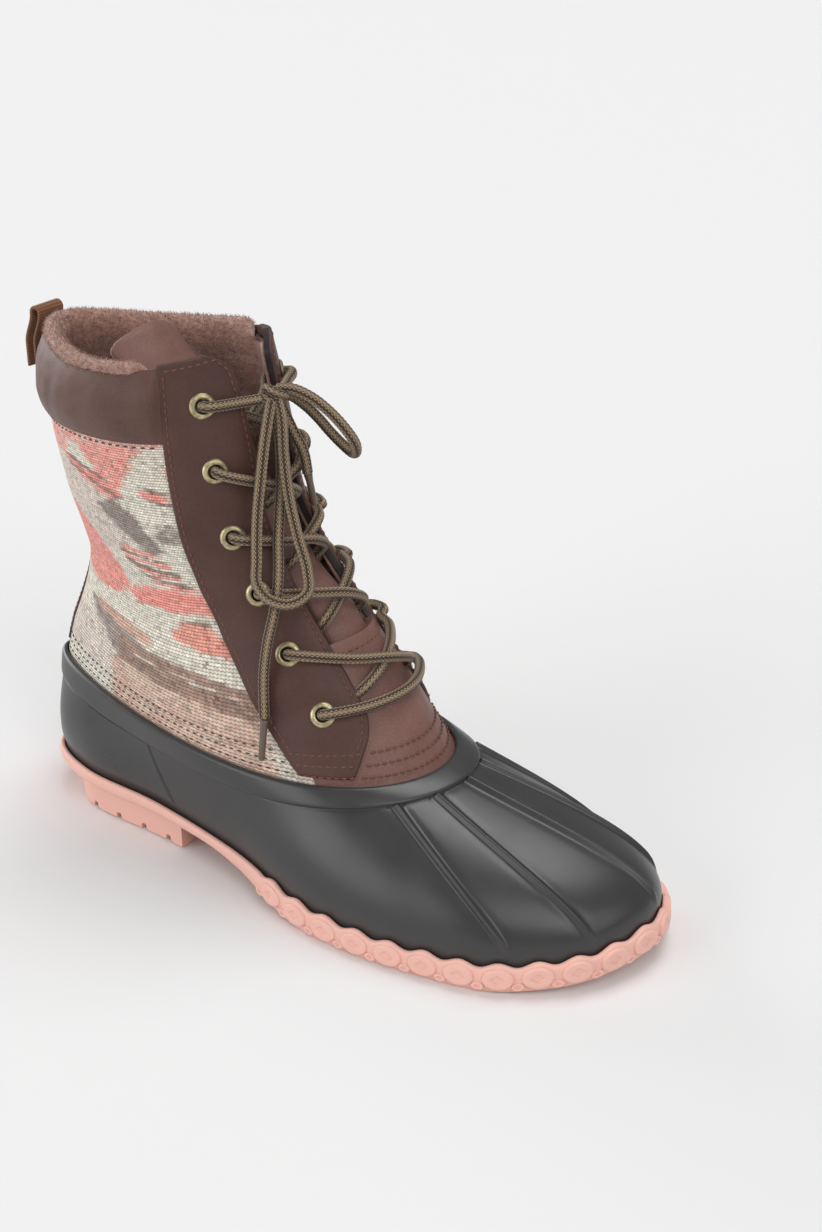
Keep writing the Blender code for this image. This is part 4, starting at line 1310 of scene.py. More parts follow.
    def build_tread(self) -> None:
        """Rows of flat links under the forefoot and the heel."""
        turns = np.linspace(0.0, 180.0, 721)
        low, high = (LAST.feather(t) - LAST.outward(t) * self.tread_inset for t in (turns, 360.0 - turns))
        spots = []
        rows = [(self.tread_first_x + k * self.tread_pitch, True) for k in range(*self.tread_rows)]
        rows += [(x + self.heel_link_shift, False) for x in self.heel_notches[:-1]]
        for number, (x, front) in enumerate(rows):
            inset = 0.0 if front else self.heel_link_inset
            start, end = (np.interp(x, side[:, 0], side[:, 1]) for side in (low, high))
            count = int((end - start - 2 * inset) // self.tread_width) + number % 2
            for share in (np.arange(count) + 0.5) / count:
                y = start + inset + (end - start - 2 * inset) * share
                bottom = max(0.0, float(table(self.bed, np.array(x))[1])) if front else 0.0
                spots.append((x, y, bottom + self.tread_sink))
        down = np.tile([0.0, 0.0, -1.0], (len(spots), 1))
        along = np.tile([0.0, 1.0, 0.0], (len(spots), 1))
        shape = self.link(self.tread_half, self.tread_relief)
        piece = set_copies("tread_links", Copies(np.array(spots), along, down), shape, PINK_RUBBER)
        dress(piece, PINK_RUBBER.slot, "outsole")


class Relief(Enum):
    """What stands out of the rubber's wall."""

    RIB = "rib"
    COUNTER = "counter"


@dataclass
class RubberShell:
    """Moulded rubber bottom with a raised band, five vamp ribs and a heel counter step."""

    wall_mm: float = 2.5
    band_foot: Handles = Handles(0.76, 0.755, 0.92)
    band_relief: float = 1.3
    band_inset: float = 1.0
    ribs: tuple = ((152, 160.5), (166, 171), (180, 182), (194.5, 191), (208.5, 200.5))
    rib_relief: float = 1.7
    rib_half: float = 2.1
    counter: Pair = (72.0, 81.0)
    counter_relief: float = 0.5
    rib_marks: tuple = (-4.4, -3.4, -2.7, -2.3, -1.9, -1.5, -1.1, -0.7, -0.3, 0.0,
                        0.3, 0.7, 1.1, 1.5, 1.9, 2.3, 2.7, 3.4, 4.4)
    counter_marks: tuple = (-3.0, -1.6, -1.0, -0.5, -0.2, 0.1, 0.4, 0.8, 1.4, 2.4)
    fills: tuple = (62, 34, 7, 7, 7, 7, 34, 62)
    sharp_deg: float = 60.0

    def rows(self) -> list[tuple[float, float, float, float]]:
        """Rows from the foot up.

        Returns:
            For each row its share, to 1 at the band's foot and to 2 at the top edge, then its shift in
            millimetres, its height and the wall's depth.
        """
        full, thin, relief = self.wall_mm, self.band_inset, self.band_relief
        low = (*np.linspace(0.0, 0.2, 8), *np.linspace(0.24, 0.96, 26))
        rows = [(share, 0.0, 0.0, full) for share in low]
        rows += [(1.0, -1.0, 0.0, full), (1.0, -0.55, -0.14, 2.2), (1.0, -0.3, 0.05, 1.8),
                 (1.0, -0.08, 0.7, 1.4), (1.0, 0.15, relief - 0.15, 1.2), (1.0, 0.5, relief, thin)]
        for share in np.linspace(1.12, 1.86, 9):
            rows.append((share, 0.0, relief + 0.3 * math.sin(math.pi * (share - 1)), thin))
        rows += [(2.0, -0.9, relief - 0.05, thin), (2.0, -0.45, relief - 0.25, thin),
                 (2.0, -0.12, relief - 0.7, thin - 0.1), (2.0, 0.1, 0.1, 0.5)]
        return rows

    def rise(self, row: tuple[float, float, float, float], turn: Array) -> Array:
        """Rise of a row at turns.

        Args:
            row: The row.
            turn: The turns.

        Returns:
            One rise for each turn.
        """
        foot = by_turn(turn, self.band_foot)
        share, shift = row[:2]
        base = foot * share if share <= 1 else foot + (1 - foot) * (share - 1)
        step = LAST.shell(turn, base) - LAST.shell(turn, base - 0.02)
        return base + shift * 0.02 / np.linalg.norm(step, axis=-1)

    def columns(self, row: tuple[float, float, float, float]) -> ArrayPair:
        """Turns of the columns in one row and the relief of ribs and counter there.

        Args:
            row: The row.

        Returns:
            The turns and the relief at each.
        """
        ends = [(*self.counter, Relief.COUNTER, 1), *((*rib, Relief.RIB, 1) for rib in self.ribs)]
        ends.append((360 - self.counter[0], 360 - self.counter[1], Relief.COUNTER, -1))
        groups = []
        for top, foot, kind, way in ends:
            rise = float(self.rise(row, np.array(float(top))))
            turn = foot + (top - foot) * rise
            step = LAST.shell(np.array([turn - 0.5, turn + 0.5]), np.full(2, rise))
            speed = np.linalg.norm(step[1] - step[0])
            marks = np.array(self.rib_marks if kind is Relief.RIB else self.counter_marks)[::way] * way
            if kind is Relief.RIB:
                wave = 0.5 + 0.5 * np.cos(np.pi * np.minimum(1.0, np.abs(marks) / self.rib_half))
                relief = self.rib_relief * wave ** 0.8 - 0.15 * np.exp(-((np.abs(marks) - 3.1) / 0.8) ** 2)
                relief = relief * fade(rise, 0.04, 0.22)
            else:
                relief = self.counter_relief * fade(-marks * way, -0.45, 0.35)
                relief = relief - 0.08 * np.exp(-((marks * way - 0.9) / 0.5) ** 2)
                relief = relief * fade(rise, 0.03, 0.12)
            groups.append((turn + marks / speed, relief))
        turns, reliefs = [], []
        before, held = groups[-1][0][-1] - 360.0, groups[-1][1][-1]
        for (group, relief), fill in zip(groups, self.fills):
            shares = np.linspace(0.0, 1.0, fill + 2)[1:-1]
            turns += [before + (group[0] - before) * shares, group]
            reliefs += [held + (relief[0] - held) * shares, relief]
            before, held = group[-1], relief[-1]
        return np.concatenate(turns), np.concatenate(reliefs)

    def build(self) -> None:
        """Wall from the sole's bed up to the rounded lip."""
        sole = Outsole()
        rows = self.rows()
        turns, _ = self.columns(rows[0])
        bed = sole.levels(turns)[0] + FIT_GAP
        outer = [sole.edge(turns, np.zeros(len(turns)), bed)]
        inner = [sole.edge(turns, np.full(len(turns), -self.wall_mm), bed)]
        for row in rows:
            turns, relief = self.columns(row)
            rise = self.rise(row, turns)
            keep = 1.0 if row[:2] <= (1.0, -0.5) else 0.0
            outer.append(LAST.over(LAST.shell, turns, rise, row[2] + relief * keep))
            inner.append(LAST.over(LAST.shell, turns, rise, -row[3]))
        made = wall(np.stack(outer), np.stack(inner), True)
        piece = make_piece("rubber_bottom", made, [BLACK_RUBBER.material()])
        piece.data.set_sharp_from_angle(angle=math.radians(self.sharp_deg))
        dress(piece, BLACK_RUBBER.slot, "rubber_shell")


class Yarn(Enum):
    """Yarns of the blanket cloth."""

    CREAM = "#D0CABC"
    CORAL = "#DE8378"
    TAUPE = "#7D6F68"
    RUST = "#BA937F"
    MAUVE = "#C4B3AA"
    BROWN = "#7A665D"
    ORANGE = "#D68775"


class Motif(NamedTuple):
    """A field of the cloth's chart: its yarn, its corners as turn and level, and its heather share."""

    yarn: Yarn
    corners: tuple
    heather: float = 0.22


CHART = (
    Motif(Yarn.MAUVE, ((0, .66), (60, .64), (86, .59), (92, .53), (84, .44), (62, .40), (0, .46)), 0.35),
    Motif(Yarn.CORAL, ((30, .775), (128, .79), (128, .755), (100, .735), (70, .722), (30, .72)), 0.45),
    Motif(Yarn.CORAL, ((70, .732), (114, .752), (105, .69), (97, .635), (90, .60), (86, .63), (79, .68))),
    Motif(Yarn.CORAL, ((36, .735), (62, .725), (56, .67), (40, .665)), 0.3),
    Motif(Yarn.CREAM, ((106, .715), (112, .735), (122, .735), (122, .70), (120, .655), (104, .66)), 0.1),
    Motif(Yarn.BROWN, ((56, .680), (72, .667), (88, .644), (88, .632), (72, .655), (56, .667)), 0.05),
    Motif(Yarn.CORAL, ((54, .667), (72, .655), (96, .618), (95, .604), (72, .640), (54, .652)), 0.05),
    Motif(Yarn.BROWN, ((58, .652), (72, .640), (95, .604), (94, .592), (72, .628), (58, .641)), 0.05),
    Motif(Yarn.CORAL, ((64, .636), (74, .626), (91, .598), (89, .586), (72, .612)), 0.2),
    Motif(Yarn.BROWN, ((109, .640), (128, .626), (128, .618), (109, .632))),
    Motif(Yarn.CORAL, ((107, .631), (128, .616), (128, .602), (107, .613)), 0.1),
    Motif(Yarn.BROWN, ((109, .611), (128, .599), (128, .590), (109, .602))),
    Motif(Yarn.CORAL, ((122, .70), (130, .705), (130, .655), (124, .67))),
    Motif(Yarn.TAUPE, ((75, .565), (90, .592), (98, .562), (103, .51), (108, .462), (99, .442), (90, .485),
                       (81, .53)), 0.1),
    Motif(Yarn.TAUPE, ((104, .505), (117, .545), (126, .505), (110, .482)), 0.3),
    Motif(Yarn.CORAL, ((82, .456), (99, .446), (104, .432), (82, .442)), 0.1),
    Motif(Yarn.BROWN, ((80, .440), (103, .428), (105, .419), (80, .430)), 0.1),
    Motif(Yarn.CORAL, ((81, .428), (104, .416), (106, .406), (81, .418)), 0.1),
    Motif(Yarn.BROWN, ((79, .414), (104, .400), (107, .386), (84, .396)), 0.1),
    Motif(Yarn.CORAL, ((86, .396), (107, .384), (109, .374), (87, .386)), 0.15),
    Motif(Yarn.BROWN, ((87, .382), (110, .366), (113, .354), (90, .368)), 0.15),
    Motif(Yarn.CORAL, ((88, .368), (114, .352), (115, .346), (90, .356)), 0.2),
    Motif(Yarn.CORAL, ((71, .31), (84, .338), (100, .348), (121, .342), (121, .284), (108, .290), (96, .284),
                       (84, .287), (76, .275)), 0.12),
    Motif(Yarn.CORAL, ((0, .47), (48, .50), (62, .45), (73, .365), (73, .315), (62, .27), (46, .255),
                       (0, .27)), 0.15),
    Motif(Yarn.BROWN, ((97, .272), (108, .272), (112, .262), (99, .262)), 0.3),
    Motif(Yarn.ORANGE, ((90, .222), (97, .263), (109, .263), (118, .222), (122, .195), (106, .203)), 0.12),
    Motif(Yarn.TAUPE, ((38, .205), (52, .192), (66, .182), (76, .172), (70, .145), (60, .118), (50, .112),
                       (44, .15)), 0.15),
    Motif(Yarn.RUST, ((42, .212), (60, .210), (82, .198), (81, .178), (62, .184), (46, .192)), 0.1),
    Motif(Yarn.MAUVE, ((0, .16), (34, .15), (46, .16), (58, .13), (60, .06), (40, .04), (0, .06)), 0.4),
    Motif(Yarn.BROWN, ((60, .165), (80, .168), (100, .160), (124, .138), (126, .088), (100, .098), (80, .104),
                       (61, .11)), 0.3),
    Motif(Yarn.CREAM, ((70, .143), (100, .140), (122, .121), (122, .116), (100, .134), (70, .137)), 0.4),
    Motif(Yarn.RUST, ((59, .11), (80, .104), (100, .098), (121, .090), (120, -.1), (59, -.1)), 0.3),
    Motif(Yarn.CREAM, ((121, .11), (130, .10), (134, -.1), (119, -.1), (119, .03)), 0.1),
)


def inside(x: Array, y: Array, corners: tuple) -> Array:
    """Which points lie in a polygon.

    Args:
        x: Places across.
        y: Places up.
        corners: The polygon's corners.

    Returns:
        Whether each is inside.
    """
    found = np.zeros(x.shape, bool)
    for (x0, y0), (x1, y1) in zip(corners, (*corners[1:], corners[0])):
        if y0 != y1:
            found ^= ((y0 > y) != (y1 > y)) & (x < (x1 - x0) * (y - y0) / (y1 - y0) + x0)
    return found


@dataclass
class Upper:
    """Woven quarters and leather vamp, which share the shaft's wall."""

    columns: int = 164
    rows: int = 112
    low_level: float = -0.03
    tuck_turn: float = 5.0
    jag_turn: float = 0.5
    seed: int = 11

    def yarns(self, turn: Array, level: Array) -> Array:
        """Colour of each thread crossing, in linear light.

        Args:
            turn: Turns of the crossings.
            level: Their levels.

        Returns:
            One colour for each crossing.
        """
        draw = np.random.default_rng(self.seed)
        jag = draw.normal(0, self.jag_turn, (turn.shape[0], 1)) + draw.normal(0, 0.8, turn.shape)
        across, up = np.abs(turn) + jag, level + draw.normal(0, 0.0015, turn.shape)
        tones = {yarn: np.array(linear(yarn.value)) for yarn in Yarn}
        colour = np.broadcast_to(tones[Yarn.CREAM], (*turn.shape, 3)).copy()
        for motif in CHART:
            held = inside(across, up, motif.corners)
            pale = Yarn.RUST if motif.yarn in (Yarn.BROWN, Yarn.CREAM) else Yarn.CREAM
            share = (draw.random(turn.shape) * 2 * motif.heather).clip(0, 1)[..., None]
            colour = np.where(held[..., None], tones[motif.yarn] * (1 - share) + tones[pale] * share, colour)
        blend = colour.copy()
        for axis, way, share in ((0, 1, 0.12), (0, -1, 0.12), (1, 1, 0.4), (1, -1, 0.4)):
            blend += share * np.roll(colour, way, axis)
        thread = 1.12 + 0.04 * draw.normal(size=(turn.shape[0], 1, 1))
        thread = thread + 0.13 * draw.normal(size=(*turn.shape, 1))
        thread = np.where(draw.random((*turn.shape, 1)) < 0.06, 0.7 * thread, thread)
        return (blend / 2.04 * thread).clip(0.01, 0.95)

    def build_cloth(self) -> None:
        """Quarters as woven cloth, one face for each thread crossing."""
        levels = np.linspace(self.low_level, CUFF_SEAM + 0.02, self.rows + 1)[:, None]
        shares = np.linspace(-1.0, 1.0, self.columns + 1)
        turns = (LAST.stay(levels, Side.LATERAL)[0] + self.tuck_turn) * shares
        levels = np.broadcast_to(levels, turns.shape)
        made = wall(LAST.skin(turns, levels, 0.0), LAST.skin(turns, levels, -UPPER_WALL))
        piece = make_piece("cloth_quarters", made, [BLANKET.material()])
        middle = [(v[:-1, :-1] + v[1:, :-1] + v[:-1, 1:] + v[1:, 1:]) / 4 for v in (turns, levels)]
        colour = self.yarns(*middle).reshape(-1, 3)
        edge = np.broadcast_to(linear(Yarn.TAUPE.value), (int(made.only(Part.EDGE).sum()), 3))
        give_yarn(piece, np.concatenate([colour, colour, edge]))
        give_uv(piece, made.cell[:, ::-1])
        dress(piece, BLANKET.slot, "upper")

    def build_vamp(self) -> None:
        """Leather vamp under the throat, between the quarters."""
        levels = np.linspace(self.low_level, VAMP_TOP, 46)[:, None]
        start = LAST.stay(levels, Side.LATERAL)[0] + self.tuck_turn - 1.0
        shares = np.linspace(0.0, 1.0, 121)
        turns = start + (360.0 - 2 * start) * shares
        levels = np.broadcast_to(levels, turns.shape)
        lip = 1 - 0.5 * fade(levels, VAMP_TOP - 0.006, VAMP_TOP)
        puff = 0.7 * np.sin(np.pi * shares) * fade(levels, 0.03, 0.12) + 0.25 * soft_noise(turns.shape, 8, 3)
        middle = LAST.skin(turns, levels, puff + 0.3 * lip)
        holes = LAST.off_eyelets((middle[:-1, :-1] + middle[1:, 1:]) / 2) > EYELET_HOLE
        made = wall(middle, LAST.skin(turns, levels, -UPPER_WALL), False, holes)
        piece = make_piece("leather_vamp", made, [PAINTED_LIT_LEATHER.material()])
        piece.data.set_sharp_from_angle(angle=math.radians(CRISP_DEG))
        dress(piece, PAINTED_LIT_LEATHER.slot, "upper")


def rounded_shares(length: float, corner: float, step: float) -> Array:
    """Shares along a length, closer together at its two rounded ends.

    Args:
        length: The length.
        corner: Radius of its ends.
        step: Distance of the shares between them.

    Returns:
        Shares from 0 to 1.
    """
    near = np.array([0.0, 0.12, 0.35, 0.65, 1.0, 1.5]) * corner / length
    middle = np.linspace(near[-1], 1 - near[-1], max(3, round(length / step)))
    return np.concatenate([near[:-1], middle, 1 - near[:-1][::-1]])


def roll_off(distance: Array, corner: float) -> Array:
    """Height of a rounded edge, from 0 at the edge to 1 a corner away."""
    s = np.clip(distance / corner, 0.0, 1.0)
    return np.sqrt(np.clip(1 - (1 - s) ** 2, 0.0, 1.0))


@dataclass
class Overlays:
    """Leather pieces sewn on the upper: eyestays, padded collar cuff and back strip."""

    corner: float = 1.1
    black_share: float = 0.8
    seam_depth: float = 0.22
    seam_width: float = 0.7
    stay_sharp_deg: float = 60.0
    cuff_sharp_deg: float = 70.0
    cuff_lean: Pair = (0.88, 26.0)
    cuff_pad: tuple = ((CUFF_SEAM, 1.2), (0.80, 3.4), (0.86, 5.4), (0.93, 5.2), (0.985, 3.2), (1.01, 1.5))
    cuff_edge_gap: float = -1.8
    cuff_end_share: float = 0.02
    cuff_seam_steps: tuple = (0.0, 0.001, 0.003, 0.007)
    cuff_levels: Pair = (0.778, 1.01)
    back_levels: Pair = (0.015, 0.755)
    back_half: float = 6.0
    back_width: float = 9.0
    back_corner: float = 0.9
    back_thick: float = 1.2
    wrinkles: tuple = ((-104, 4.0, 0.35), (-70, 5.0, 0.4), (-30, 5.0, 0.35), (30, 5.0, 0.35), (62, 4.0, 0.4),
                       (88, 5.0, 0.45), (113, 3.5, 0.4))

    def build_eyestay(self, side: Side) -> None:
        """Strip beside the throat, leather outside and edge-painted towards the throat, its inner face black
        low down.

        Args:
            side: The side that it lies on.
        """
        level_shares = rounded_shares(STAY_LENGTH, self.corner, 1.15)
        levels = STAY[0].level + (STAY[-1].level - STAY[0].level) * level_shares[:, None]
        outer, inner = LAST.stay(levels, side)
        shares = rounded_shares(STAY_WIDTH, self.corner, 0.8)
        turns = outer + (inner - outer) * shares
        levels = np.broadcast_to(levels, turns.shape)
        base = LAST.skin(turns, levels, FIT_GAP)
        across = np.linalg.norm(np.diff(base, axis=1), axis=2).cumsum(1)
        across = np.concatenate([np.zeros((len(base), 1)), across], 1)
        edge = np.minimum(across, across[:, -1:] - across)
        ends = np.minimum(level_shares, 1 - level_shares)[:, None] * STAY_LENGTH
        rounded = roll_off(np.minimum(edge, ends), self.corner)
        top = FIT_GAP + STAY_THICK * (EDGE_SHARE + (1 - EDGE_SHARE) * rounded)
        seam = self.seam_depth * np.exp(-((edge - SEAM_INSET) / self.seam_width) ** 2)
        outside = LAST.skin(turns, levels, top - seam)
        under = np.where(levels > VAMP_TOP, -1.4, -0.6)
        middle = (outside[:-1, :-1] + outside[1:, 1:]) / 2
        keep = LAST.off_eyelets(middle) > EYELET_HOLE
        if side is Side.MEDIAL:
            outside, turns, under, keep = (grid[:, ::-1] for grid in (outside, turns, under, keep))
        made = wall(outside, LAST.skin(turns, levels, under), False, keep)
        heights = np.array([made.cell[face, 0].mean() for face in made.faces])
        # The inner face is black below eight tenths of the stay's height, and so is the edge towards the
        # throat
        painted = made.only(Part.INNER) & (heights < self.black_share * len(levels))
        throat = shares.size - 1 if side is Side.LATERAL else 0
        for k in np.flatnonzero(made.only(Part.EDGE)):
            painted[k] = (made.cell[made.faces[k], 1] == throat).all()
        name = f"eyestay_{side.value}_leather"
        piece = make_piece(name, made, [LEATHER.material(), EDGE_PAINT.material()], painted)
        piece.data.set_sharp_from_angle(angle=math.radians(self.stay_sharp_deg))
        dress(piece, LEATHER.slot, f"eyestay_{side.value}")

    def cuff_height(self, turn: Array, level: Array, share: Array) -> Array:
        """Height of the padded cuff over the skin, with its soft wrinkles.

        Args:
            turn: Turns of the places.
            level: Their levels.
            share: Their shares of the way round.

        Returns:
            One height for each place.
        """
        full = np.minimum(1.0, np.minimum(share, 1 - share) / self.cuff_end_share)
        full = full * full * (3 - 2 * full)
        thin = self.cuff_pad[0][1]
        height = thin + (table(self.cuff_pad, level)[..., 0] - thin) * full
        lean = (level - self.cuff_lean[0]) * self.cuff_lean[1]
        for middle, width, depth in self.wrinkles:
            trough = np.exp(-(((turn - middle - lean) * TURN_MM) / width) ** 2)
            height = height - depth * trough * fade(level, 0.775, 0.83) * (1 - 0.6 * fade(level, 0.9, 1.0))
        return FIT_GAP + height

    def cuff_turns(self, level: Array, share: Array) -> Array:
        """Turns round the back, from the medial eyestay to the lateral one."""
        edge = LAST.stay(level, Side.LATERAL)[0] - self.cuff_edge_gap
        return -edge + 2 * edge * share

    def build_cuff(self) -> None:
        """Padded collar cuff; fuller at its middle and drawn in at its seam."""
        seam = CUFF_SEAM + np.array(self.cuff_seam_steps)
        levels = np.concatenate([seam, np.linspace(*self.cuff_levels, 44)])[:, None]
        shares = np.linspace(0.0, 1.0, 261)
        turns = self.cuff_turns(levels, shares)
        levels = np.broadcast_to(levels, turns.shape)
        height = self.cuff_height(turns, levels, shares)
        height = height - 1.1 * (1 - roll_off((levels - CUFF_SEAM) * LEVEL_MM, self.corner))
        height = height - 0.5 * np.exp(-((levels - CUFF_STITCH) / 0.004) ** 2)
        height = height + 0.25 * soft_noise(turns.shape, 10, 8) * fade(levels, 0.78, 0.84)
        made = wall(LAST.skin(turns, levels, height), LAST.skin(turns, levels, FIT_GAP))
        piece = make_piece("padded_cuff", made, [PAINTED_HALF_LIT_LEATHER.material()])
        piece.data.set_sharp_from_angle(angle=math.radians(self.cuff_sharp_deg))
        dress(piece, LEATHER.slot, "collar_cuff")

    def build_back_strip(self) -> None:
        """Narrow leather strip over the back seam."""
        levels = np.linspace(*self.back_levels, 110)[:, None]
        shares = rounded_shares(self.back_width, self.back_corner, 0.8)
        turns = (shares * 2 - 1) * self.back_half + 0 * levels
        levels = np.broadcast_to(levels, turns.shape)
        edge = np.minimum(shares, 1 - shares) * self.back_width
        rounded = roll_off(edge, self.back_corner)
        height = FIT_GAP + self.back_thick * (EDGE_SHARE + (1 - EDGE_SHARE) * rounded)
        height = height - 0.15 * np.exp(-((edge - 1.7) / 0.5) ** 2)
        made = wall(LAST.skin(turns, levels, height), LAST.skin(turns, levels, FIT_GAP - 0.5))
        piece = make_piece("back_strip", made, [LEATHER.material()])
        dress(piece, LEATHER.slot, "back_stay")


@dataclass
class Lining:
    """Fleece that rolls over the collar and lines the shaft, and the felt insole."""

    depth: float = 5.5
    stay_depth: float = 3.0
    thick: float = 1.3
    roll: tuple = ((0.99, 1.4), (1.0, 2.2), (1.012, 2.5), (1.023, 1.8), (1.029, 0.4), (1.030, -1.2),
                   (1.026, -2.8), (1.016, -4.2), (1.0, -5.2), (0.98, -5.7), (0.95, -5.8))
    # Fewer and thicker fibres than real fleece has, so that they show; the density is for a square metre
    fibres: float = 1.4e6
    fibre_length_mm: float = 1.5
    fibre_width_mm: float = 0.16
    fibre_seed: int = 7
    edge_turn: float = 1.5
    wall_levels: Pair = (0.93, -0.06)
    stay_fade: Pair = (-14.0, 1.0)
    stay_level: float = 0.985
    crease_depth: float = 1.2
    insole_profile: tuple = ((3.9, 0.45), (3.9, 3.2), (4.3, 3.8), (5.2, 4.05))
    insole_across: int = 20

    def build(self) -> None:
        """Lining from the outside of the collar over its roll and down the inside."""
        down = np.linspace(*self.wall_levels, 64)
        rows = [*self.roll, *((level, -self.depth) for level in down)]
        level_row = np.array([row[0] for row in rows])[:, None]
        height_row = np.array([row[1] for row in rows])[:, None]
        shares = np.linspace(0.0, 1.0, 241)
        edge_level = np.clip(level_row, VAMP_TOP, 1.0)
        end = LAST.stay(edge_level, Side.LATERAL)[1] - self.edge_turn
        start = LAST.stay(edge_level, Side.MEDIAL)[1] - 360.0 + self.edge_turn
        turns = start + (end - start) * shares
        levels = np.broadcast_to(level_row, turns.shape)
        stay = LAST.stay(edge_level, Side.LATERAL)[0]
        full = 1 - fade(np.abs(turns) - stay, *self.stay_fade)
        capped = np.minimum(levels, self.stay_level + (levels - self.stay_level) * full)
        heights = np.where(height_row > -self.stay_depth, height_row * full - self.stay_depth * (1 - full),
                           -self.stay_depth + (height_row + self.stay_depth) * full)
        lumps = 0.55 * soft_noise(turns.shape, 2, 21) + 0.5 * soft_noise(turns.shape, 6, 4)
        heights = heights + full * lumps
        crease = np.exp(-(((turns + 6.0) * TURN_MM) / 1.6) ** 2)
        crease = crease * fade(levels, 0.6, 0.8) * (height_row < -4.0)
        seen = LAST.skin(turns, np.minimum(capped, 1.0), heights - self.crease_depth * crease)
        seen[..., 2] += np.maximum(capped - 1.0, 0.0) * LEVEL_MM
        ahead, below = np.gradient(seen, axis=1), np.gradient(seen, axis=0)
        back = seen - unit(np.cross(ahead, below)) * self.thick
        holes = LAST.off_eyelets((seen[:-1, :-1] + seen[1:, 1:]) / 2) > EYELET_HOLE
        made = wall(seen, back, False, holes)
        piece = make_piece("fleece_lining", made, [FLEECE.material()])
        amount = np.where(levels > 0.55, 1.0, 0.25) * full
        front = np.arange(len(made.points)) < len(made.points) // 2
        pile = np.where(front, amount[made.cell[:, 0], made.cell[:, 1]], 0.0)
        piece.data.attributes.new("pile", "FLOAT", "POINT").data.foreach_set("value", pile.astype(np.float32))
        run_tree(piece, pile_tree(), {
            "Finish": FLEECE.material(), "Density": self.fibres, "Length": self.fibre_length_mm * MM,
            "Width": self.fibre_width_mm * MM, "Seed": self.fibre_seed})
        dress(piece, FLEECE.slot, "upper")

    def build_insole(self) -> None:
        """Felt insole with a rounded edge on the sole's bed."""
        sole = Outsole()
        turns = np.linspace(0.0, 180.0, 160)
        sides = []
        for way in (turns, 360.0 - turns):
            bed = sole.levels(way)[0]
            rows = [sole.edge(way, np.full(len(way), -out), bed + z) for out, z in self.insole_profile]
            sides.append(np.stack(rows, 1))
        made = bridged(*sides, self.insole_across)
        piece = make_piece("felt_insole_board", made, [FELT.material()])
        merge_and_turn(piece, CRISP_DEG)
        dress(piece, FELT.slot, "insole")


@dataclass
class Tongue:
    """Padded leather tongue with a fleece back, its top fallen back into the shaft."""

    rows: tuple = ((0.10, 3.2, 0, 20), (0.20, 3.2, 0, 23), (0.23, 3.2, 0, 24), (0.30, 4.4, 0, 25),
                   (0.45, 7, 0, 28), (0.60, 9.5, 2, 32), (0.70, 10, 8, 35), (0.80, 10, 16, 38),
                   (0.90, 10, 27, 42), (0.97, 10, 35, 41), (0.995, 10, 38, 37), (1.01, 10, 40, 28))
    puffs: tuple = (0.26, 0.41, 0.58)
    half_mm: float = 19.0
    corner: float = 3.0
    grid: tuple[int, int] = (118, 57)
    lift: float = 3.5
    thick: float = 4.0
    middle: float = 183.0
    tilt: float = 1.2
    most_tilt: float = 50.0
    crown: float = 1.1

    def point(self, level: Array, share: Array, height: Array) -> Array:
        """Points on the tongue; share runs from -1 to 1 across it.

        Args:
            level: Levels of the places.
            share: Their shares across.
            height: Their heights.

        Returns:
            One point for each place.
        """
        level, share, height = np.broadcast_arrays(level, share, height)
        sizes = table(self.rows, level)
        depth, fall, half = sizes[..., 0], sizes[..., 1], sizes[..., 2]
        turn = self.middle + half * share
        point = LAST.skin(turn, level, -depth)
        tilt = np.radians(np.minimum(self.most_tilt, fall * self.tilt))
        ahead = LAST.skin(turn, level, -depth + 1) - point
        lean = np.stack([ahead[..., 0] * np.cos(tilt), ahead[..., 1], ahead[..., 2] + np.sin(tilt)], -1)
        point[..., 0] -= fall
        point[..., 2] += self.lift * fade(level, 0.75, 1.0) * (1 - share ** 2)
        return point + unit(lean) * height[..., None]

    def build(self) -> None:
        """Crowned pad, puffed between the lace crossings and drawn in at its edges."""
        foot, tip = self.rows[0][0], self.rows[-1][0]
        levels = np.linspace(foot, tip, self.grid[0])[:, None]
        shares = np.linspace(-1.0, 1.0, self.grid[1])
        ends = np.minimum(levels - foot, tip - levels) * LEVEL_MM
        soft = roll_off(np.minimum((1 - np.abs(shares)) * self.half_mm, ends), self.corner)
        puff = sum(2.0 * np.exp(-((levels - at) / 0.05) ** 2) for at in self.puffs)
        front = self.crown * (1 - shares ** 2) * (0.4 + puff) + 0.35 * soft_noise(self.grid, 8, 17)
        front = -self.thick / 2 + (self.thick / 2 + front) * soft
        back = -self.thick / 2 - (self.thick / 2) * soft + 0 * front
        made = wall(self.point(levels, shares, front), self.point(levels, shares, back))
        picks = made.only(Part.INNER)
        piece = make_piece("padded_tongue", made, [PAINTED_LIT_LEATHER.material(), FLEECE.material()], picks)
        dress(piece, PAINTED_LIT_LEATHER.slot, "tongue")


